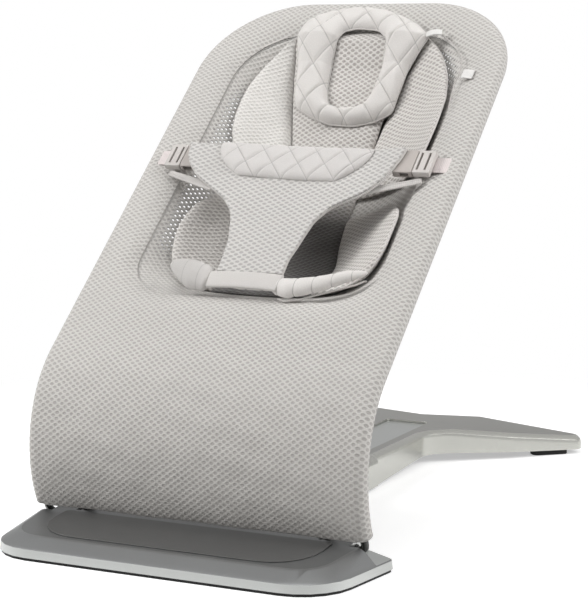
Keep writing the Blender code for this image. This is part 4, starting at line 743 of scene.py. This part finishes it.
def insert_pads():
    """The insert's back, and on each side the wing by the shoulders and the bolster by the hips."""
    piece = pad_form("insert_back_pad", measured(CREASE, "left"), measured(CREASE, "right"), BACK_ROWS, BACK_THICKNESS,
                     SHADED_BACK_MESH, (0.06, 0.06), (9.0, 9.0), rows=170, columns=110, ends=8.0,
                     lift=lambda s: pillow_base(s) - 0.0092)
    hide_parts("insert_back")
    # The left upper wing takes the lighter copy of the mesh: painted light.
    for side, mesh in (("left", LIT_WING_MESH), ("right", INSERT_MESH)):
        for name, edge, ends_at, more in (("upper", WING_EDGE, WING_ROWS, (mesh, (0.2, 0.5), (6.0, 4.0), 120)),
                                          ("lower", BOLSTER_EDGE, BOLSTER_ROWS, (INSERT_MESH,))):
            piece = pad_form("insert_%s_wing_pad_%s" % (name, side), measured(CREASE, side), measured(edge, side),
                             ends_at, WING_THICKNESS, *more)
            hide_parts("insert_%s_wing_%s" % (name, side))


def front_roll():
    """A roll along the front edge: ovals whose middle and half width follow the measured line, gathered by stitch
    lines, and held above the cover and the mesh seat."""
    rows, columns = 240, 48
    t = to_the_ends(rows)[:, None]
    angle = np.linspace(0.0, tau, columns, endpoint=False)[None]
    x = 0.0215 + 0.1235 * t
    middle = np.interp(x, (-0.1, -0.066, -0.044, 0.0, 0.048, 0.06, 0.08, 0.1, 0.12, 0.144),
                       (0.13, 0.1165, 0.1115, 0.106, 0.106, 0.1045, 0.109, 0.1155, 0.125, 0.133))
    wide = np.interp(x, (-0.1, -0.066, -0.046, -0.038, 0.039, 0.046, 0.06, 0.08, 0.1, 0.12, 0.144),
                     (0.015, 0.021, 0.0175, 0.006, 0.006, 0.0115, 0.013, 0.0115, 0.01, 0.009, 0.0075))
    high = np.interp(x, (-0.1, -0.066, -0.046, -0.038, 0.039, 0.046, 0.06, 0.11, 0.144),
                     (0.011, 0.013, 0.01, 0.0035, 0.0035, 0.009, 0.0105, 0.009, 0.007))
    close = np.clip(1.0 - np.abs(t) ** 7, 0.0, 1.0) ** 0.5
    line = (x - ROLL_QUILT[2]) / ROLL_QUILT[0]
    near = np.abs(line - np.round(line))
    gather = 1.0 - np.where(x < 0.0, 0.03, 0.12) * np.exp(-near / 0.06)
    s = middle + wide * close * gather * np.cos(angle)
    base = 0.01 + 0.0008 * np.abs(x) / 0.12
    d = base + high * close * gather * np.sin(angle) * np.where(np.sin(angle) < 0.0, 0.55, 1.0)
    d = np.maximum(d, 0.003 - 0.014 * ease(OPENING_LOW + 0.004, OPENING_LOW + 0.026, s))
    piece = new_piece("insert_front_roll", seat_place(x, s, d), grid_faces(rows, columns, wrap_columns=True),
                      ROLL_CLOTH, together(x, s))
    outward(piece, merge=True)
    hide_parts("front_roll")


def pillow_base(s):
    """Where the pillow rests: on the insert's back, then over the cover's upper edge."""
    return np.interp(s, (0.33, 0.4, 0.49, 0.522, 0.6), (-0.0665, -0.044, -0.0125, 0.0091, 0.0091))


def closed_line(points, count, reach):
    """Even steps round a closed line through measured points, each averaged over the reach to both sides."""
    ring = np.array(points + points[:1])
    length = running_length(ring)
    total = length[-1]
    at = np.linspace(0.0, total, count, endpoint=False)[:, None] + np.linspace(-reach, reach, 9)[None]
    return together(*[np.interp(at % total, length, ring[:, k]).mean(1) for k in (0, 1)])


def by_angle(line, angle):
    """The closed line's points at given angles round the pillow's centre."""
    place = line - np.array(PILLOW_CENTRE)
    turn = np.arctan2(place[:, 1], place[:, 0])
    order = np.argsort(turn)
    return together(*[np.interp(angle, turn[order], line[order, k], period=tau) for k in (0, 1)])


def head_pillow():
    """A flat stuffed ring between two measured outlines. Across it, from 0 at the hole to 1 at the rim, its face
    stands (1 - |2q - 1|^2.6)^0.55 times the thickness, quilted in diamonds."""
    around, across = 520, 46
    angle = np.linspace(-pi, pi, around, endpoint=False)
    outer, inner = [by_angle(closed_line(line, 2000, 0.006), angle) for line in (PILLOW_EDGE, PILLOW_HOLE)]
    q = 0.5 - 0.5 * np.cos(np.linspace(0.0, pi, across))[None, :, None]
    flat = inner[:, None] + (outer - inner)[:, None] * q
    x, s, q = flat[..., 0], flat[..., 1], q[..., 0]
    crown = np.clip(1.0 - np.abs(2.0 * q - 1.0) ** 2.6, 0.0, 1.0) ** 0.55
    low = pillow_base(s) + 0.0004
    top = low + 0.013 * crown * (0.74 + 0.26 * puff(PILLOW_QUILT, x, s)) + 0.0004 * ripple(x, s, 0.03, 5) * crown
    quads = grid_faces(around, across, wrap_rows=True)[:, ::-1]
    piece = stuffed("head_pillow_ring", x, s, (top, low), quads, PILLOW_CLOTH)
    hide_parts("head_pillow")
    for name, line, size in (("pillow_piping", outer, 0.0022), ("pillow_hole_piping", inner, 0.002)):
        edge = seat_place(line[:, 0], line[:, 1], pillow_base(line[:, 1]) + 0.0012)
        carried(name, edge, oval(size, size, 10), BINDING, closed=True)


def wing_tab():
    """A short folded tab that joins the pillow's corner to the right wing's tip."""
    t = np.linspace(0.0, 1.0, 24)
    path = seat_place(0.0945 + 0.019 * t, 0.5235 + 0.004 * t, 0.0135 + 0.0022 * np.sin(t * pi))
    carried("wing_tab", path, oval(0.0095, 0.0026, 20, 0.5), LABEL)


def edge_cords():
    """Thin piping along the outer edges of the wings and bolsters and under the roll's right end, and a thread on
    the cover beside the right wing."""
    for side, sign in SIDES:
        for name, edge, rows in (("upper", WING_EDGE, WING_PIPING_ROWS), ("lower", BOLSTER_EDGE, BOLSTER_PIPING_ROWS)):
            s = rows[0] + (rows[1] - rows[0]) * np.linspace(0.0, 1.0, 120)
            share = along(edge[side], s)
            path = seat_place(sign * share * opening_half_width(s), s, well_face(share, s) + 0.0108)
            carried("insert_%s_piping_%s" % (name, side), path, oval(0.0024, 0.0024, 10), BINDING)
    x = np.linspace(0.048, 0.144, 90)
    s = np.interp(x, (0.045, 0.0573, 0.0749, 0.0961, 0.1169, 0.1329, 0.1422),
                  (0.094, 0.09, 0.0945, 0.1035, 0.113, 0.1195, 0.126))
    carried("roll_piping", seat_place(x, s, 0.0058), oval(0.0022, 0.0022, 10), BINDING)
    line = closed_line(((0.1082, 0.5323), (0.13, 0.513), (0.1499, 0.4886), (0.154, 0.47), (0.156, 0.455),
                        (0.1543, 0.4391), (0.1596, 0.3961)), 400, 0.004)[:205]
    carried("side_thread", seat_place(line[:, 0], line[:, 1], SHEET_TOP + 0.0004),
            oval(0.0013, 0.0013, 8), LINING)


# Harness

def harness_panel():
    """A sheet whose two edges follow the measured lines, lifted over the buckles, with a soft crown and a binding
    along each edge. The right one widens upwards."""
    rows, columns = 110, 120
    s = np.linspace(*HARNESS_ROWS, rows)[:, None]
    t = np.linspace(-1.0, 1.0, columns)[None]
    x = np.where(t < 0.0, along(HARNESS_EDGE["left"], s), along(HARNESS_EDGE["right"], s)) * t
    soft = 0.0006 * ripple(x, s, 0.05, 12) * (1.0 - t ** 4)
    points = seat_place(x, s, panel_face(x) + PANEL_THICKNESS + soft)
    quads = grid_faces(rows, columns)[:, ::-1]
    piece = new_piece("harness_front", points, quads, HARNESS_MESH, together(x, s))
    as_sheet(piece, HARNESS_CLOTH)
    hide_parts("harness_panel")
    s = np.linspace(*HARNESS_ROWS, 140)
    for side, sign in SIDES:
        x = sign * along(HARNESS_EDGE[side], s)
        wide = 0.003 + (0.0034 if side == "right" else 0.0) * ease(0.228, 0.248, s)
        path = seat_place(x - sign * wide * 0.3, s, panel_face(x) + PANEL_THICKNESS / 2)
        carried("harness_binding_" + side, path, oval(1.0, 0.0032, 16, 0.6), BINDING, wide=wide)


def waist_pad():
    """A quilted band across the waist, wide at the top: a crowned face on the harness, its lower corners drawn in."""
    rows, columns = 72, 240
    v, u = to_the_ends(rows)[:, None], to_the_ends(columns)[None]
    width = 0.1005 * (1.0 - 0.36 * ((1.0 - v) / 2) ** 2.2)
    x = width * u - 0.004
    s = 0.2927 + 0.025 * v - 0.0024 * u + 0.0035 * (1.0 - u ** 2) * np.maximum(v, 0.0)
    crown = np.sqrt(np.clip((1.0 - np.abs(v) ** 3.4) * (1.0 - np.abs(u) ** 9), 0.0, 1.0))
    low = panel_face(x) + PANEL_THICKNESS + 0.0005
    top = (low + 0.0105 * (0.22 + 0.78 * crown) * (0.78 + 0.22 * puff(BAND_QUILT, x, s))
           + 0.0005 * ripple(x, s, 0.03, 9) * crown)
    bottom = low + 0.002 * (1.0 - crown)
    rim = np.concatenate((np.arange(columns), np.arange(1, rows) * columns + columns - 1,
                          (rows - 1) * columns + np.arange(columns - 1)[::-1],
                          np.arange(1, rows - 1)[::-1] * columns))
    ahead = np.roll(rim, -1)
    wall = together(rim, ahead, ahead + rows * columns, rim + rows * columns)
    piece = stuffed("waist_pad_quilted", x, s, (top, bottom), grid_faces(rows, columns), BAND_CLOTH, wall)
    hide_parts("waist_pad")


def crotch_band():
    """A folded band below the harness: a soft oval carried across, a little arched."""
    x = np.linspace(-0.041, 0.048, 70)
    path = seat_place(x, 0.1092 - 0.9 * (x - 0.004) ** 2, 0.0156)
    piece = carried("crotch_fold", path, oval(0.0235, 0.0056, 32, 0.62), QUILT)
    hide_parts("crotch_band")


def harness_straps():
    """A folded band from the harness edge to the cover on each side: a flat oval with a fold along it, narrower
    outwards."""
    t = np.linspace(0.0, 1.0, 40)
    profile = oval(1.0, 0.0032, 40, 0.7)
    turn = np.cos(np.linspace(0.0, tau, 40, endpoint=False))
    profile[:, 1] *= 1.0 - 0.55 * np.exp(-((turn + 0.1) / 0.16) ** 2)
    for side, sign in SIDES:
        path = seat_place(sign * (0.093 + 0.071 * t), 0.251 + 0.026 * t,
                          SHEET_TOP + 0.0022 + 0.0046 * (1.0 - t) ** 1.5)
        piece = carried("strap_" + side, path, profile, BINDING, wide=0.0118 - 0.0035 * t)
        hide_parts("harness_strap_" + side)


def webbing_bands():
    """Webbing from the lock to the cover's edge: a flat band that lies on the cover."""
    for side, sign in SIDES:
        x = sign * (0.154 + 0.0375 * np.linspace(0.0, 1.0, 30))
        path = seat_place(x, 0.304, SHEET_TOP + 0.0004)
        piece = carried("webbing_band_" + side, path, oval(0.0235, 0.0011, 24, 0.35), WEBBING)
        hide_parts("webbing_" + side)


def blank_label():
    """A small folded label, left blank, sewn to the cover's edge."""
    x = np.linspace(0.1612, 0.1748, 16)
    path = seat_place(x, 0.455, SHEET_TOP + 0.003 + 0.0006 * np.sin((x - 0.1612) * 400.0))
    piece = carried("blank_side_label", path, oval(0.015, 0.0014, 20, 0.3), LABEL)
    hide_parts("side_label")


# Hard parts

SLOT_LOOKS = {"silver": SILVER, "dark_silver": INLAY, "black": BLACK_COAT, "black_plastic": BLACK_PLASTIC,
              "rubber": RUBBER, "plastic": BUCKLE, "steel": STEEL}
# The rear leg and its sleeve take the lighter copy of the silver: painted light.
NODE_LOOKS = {"buckle_female_left": BUCKLE_DARK, "buckle_female_right": BUCKLE_DARK, "rear_leg": LEG_LIT_SIDE,
              "spine_sleeve": LEG_LIT_SIDE}

# Faces given darker copies of the satin silver, as painted shade and reflection: the finish, from and up to
# how upright their normal is, and the height that they lie above

LEVEL, SLOPING, OFF_FLOOR = 0.985, 0.45, 0.02
FACE_LOOKS = {"front_plate": ((SILVER_SHADED_TOP, LEVEL, inf, OFF_FLOOR), (SILVER_SHADED_SLOPE, SLOPING, LEVEL, -inf)),
              "rear_leg": ((LEG_SHADED_TOP, LEVEL, inf, OFF_FLOOR),), "spine_sleeve": ((LEG_SHADED_TOP, LEVEL, inf, OFF_FLOOR),)}

# How wide the edges are rounded: of the parts named, of small ones and of the rest

NODE_EDGES = {"front_plate": 0.0016, "rear_leg": 0.003, "spine_sleeve": 0.0012, "rubber_seal": 0.0003,
              "slider_shoe": 0.001, "recline_button": 0.0008}
SMALL = ("joiner", "foot_pin", "strut_pin", "pivot_axle", "buckle_prong", "rod_bush")
SMALL_EDGE, PLAIN_EDGE = 0.0002, 0.0005


def finer(node, finish, edge, segments):
    """A CAD node with its loose triangles merged, flat faces joined and its edges rounded."""
    source = frame["nodes"][node]
    mesh = source.data.copy()
    mesh.name = node + "_finished"
    work = bmesh.new()
    work.from_mesh(mesh)
    work.transform(source.matrix_world)
    bmesh.ops.remove_doubles(work, verts=work.verts, dist=2e-6)
    bmesh.ops.dissolve_limit(work, angle_limit=radians(0.6), verts=work.verts, edges=work.edges)
    for face in work.faces:
        face.smooth = True
    work.to_mesh(mesh)
    work.free()
    mesh.materials.clear()
    mesh.materials.append(finish)
    # Painted shade: faces take the darker copies by how upright they are.
    for index, (look, low, high, above) in enumerate(FACE_LOOKS.get(node, ()), 1):
        mesh.materials.append(look)
        for face in mesh.polygons:
            if low < face.normal.z <= high and face.center.z > above:
                face.material_index = index
    piece = into_scene(mesh.name, mesh)
    round_off = piece.modifiers.new("edges", "BEVEL")
    round_off.width, round_off.segments = edge, segments
    round_off.limit_method, round_off.angle_limit = "ANGLE", radians(28.0)
    piece.modifiers.new("shading", "WEIGHTED_NORMAL").keep_sharp = True
    body = next(name for name, nodes in frame["record"]["behaviour"]["bodies"].items() if node in nodes)
    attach(piece, body)
    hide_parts(node)


def hard_parts():
    """The hard nodes that show, in the finish of their slot or their own."""
    for row in frame["record"]["subparts"]:
        node, slot = row["node"], row["material_slot"]
        if slot in SLOT_LOOKS and not frame["nodes"][node].hide_render:
            edge = NODE_EDGES.get(node, SMALL_EDGE if node.startswith(SMALL) else PLAIN_EDGE)
            finer(node, NODE_LOOKS.get(node, SLOT_LOOKS[slot]), edge, 4 if node in NODE_EDGES else 2)


seat_cover()
seam_round_opening()
mesh_seat()
insert_pads()
front_roll()
head_pillow()
wing_tab()
edge_cords()
harness_panel()
waist_pad()
crotch_band()
harness_straps()
webbing_bands()
blank_label()
hard_parts()


# Studio

LAMP_TARGET = Vector((0.0, 0.0, 0.25))


def studio_floor():
    """A wide pale floor. The camera sees it with the object's shadow near the middle, and pure white farther out:
    the share of the plain white is a smooth step of the distance from the middle."""
    size = 6.0
    mesh = bpy.data.meshes.new("studio_floor")
    corners = ((-1, -1), (1, -1), (1, 1), (-1, 1))
    mesh.from_pydata([(size * x, size * y, 0.0) for x, y in corners], [], [(0, 1, 2, 3)])
    floor = into_scene("studio_floor", mesh)
    material = bpy.data.materials.new("studio_floor")
    material.use_nodes = True
    tree = material.node_tree
    tree.nodes.clear()
    made = Nodes(tree)
    camera, glossy, through = [made.node("LightPath", output="Is %s Ray" % kind)
                               for kind in ("Camera", "Glossy", "Transmission")]
    seen = camera.highest(glossy).highest(through)
    spot = made.node("TexCoord", output="Object")
    away = made.node("VectorMath", {"operation": "LENGTH"}, {0: spot}, "Value")
    paint = made.node("BsdfDiffuse", None, {"Color": (0.8, 0.8, 0.8, 1.0)})
    lift = made.node("Emission", None, {"Strength": 0.45})
    white = made.node("Emission")
    near = made.node("AddShader", None, {0: paint, 1: lift})
    plain = made.node("MixShader", None, {0: seen, 1: paint, 2: near})
    whole = made.node("MixShader", None, {0: seen * made.step(away, 0.5, 0.95), 1: plain, 2: white})
    tree.links.new(whole.socket, tree.nodes.new("ShaderNodeOutputMaterial").inputs["Surface"])
    mesh.materials.append(material)


def soft_box(name, place, size, power):
    """A square area lamp that faces the object."""
    lamp = bpy.data.lights.new(name, "AREA")
    lamp.shape, lamp.size, lamp.energy = "SQUARE", size, power
    box = into_scene(name, lamp)
    box.location = place
    box.rotation_euler = (LAMP_TARGET - Vector(place)).to_track_quat("-Z", "Y").to_euler()


def studio():
    """A world that is white to the camera, duller in mirrors and faint as light, and three lamps."""
    world = bpy.data.worlds.new("studio")
    world.use_nodes = True
    made = Nodes(world.node_tree)
    background = made.tree.nodes["Background"]
    background.inputs["Color"].default_value = (1.0, 1.0, 1.0, 1.0)
    camera, glossy = [made.node("LightPath", output="Is %s Ray" % kind) for kind in ("Camera", "Glossy")]
    level = made.node("MapRange", None, {"Value": camera.highest(glossy * 0.42), "To Min": 0.19, "To Max": 1.0})
    made.tree.links.new(level.socket, background.inputs["Strength"])
    bpy.context.scene.world = world
    soft_box("key_left", (-1.9, -1.3, 1.9), 1.2, 55.0)
    soft_box("above", (0.2, -0.8, 2.8), 2.0, 27.0)
    soft_box("rim_right", (2.1, 0.2, 1.6), 1.6, 42.0)


def photo_camera():
    """The camera of the fitted view: turned 26.03 degrees to the right, looking 7.43 degrees down, 114 mm lens."""
    azimuth, pitch, distance = 0.45427, 0.12967, 2.3004
    forward = Vector((-sin(azimuth) * cos(pitch), cos(azimuth) * cos(pitch), -sin(pitch)))
    right = Vector((cos(azimuth), sin(azimuth), 0.0))
    up = right.cross(forward)
    target = Vector((0.0, 0.0, 0.3)) - right * 0.02469 - up * 0.0552
    lens = bpy.data.cameras.new("photo_camera")
    lens.lens, lens.sensor_width = 114.35, 36.0
    camera = into_scene("photo_camera", lens)
    turn = Matrix((right, up, -forward)).transposed().to_4x4()
    camera.matrix_world = Matrix.Translation(target - forward * distance) @ turn
    bpy.context.scene.camera = camera


studio_floor()
studio()
photo_camera()
bpy.context.scene.view_settings.view_transform = "Standard"

bpy.context.view_layer.update()
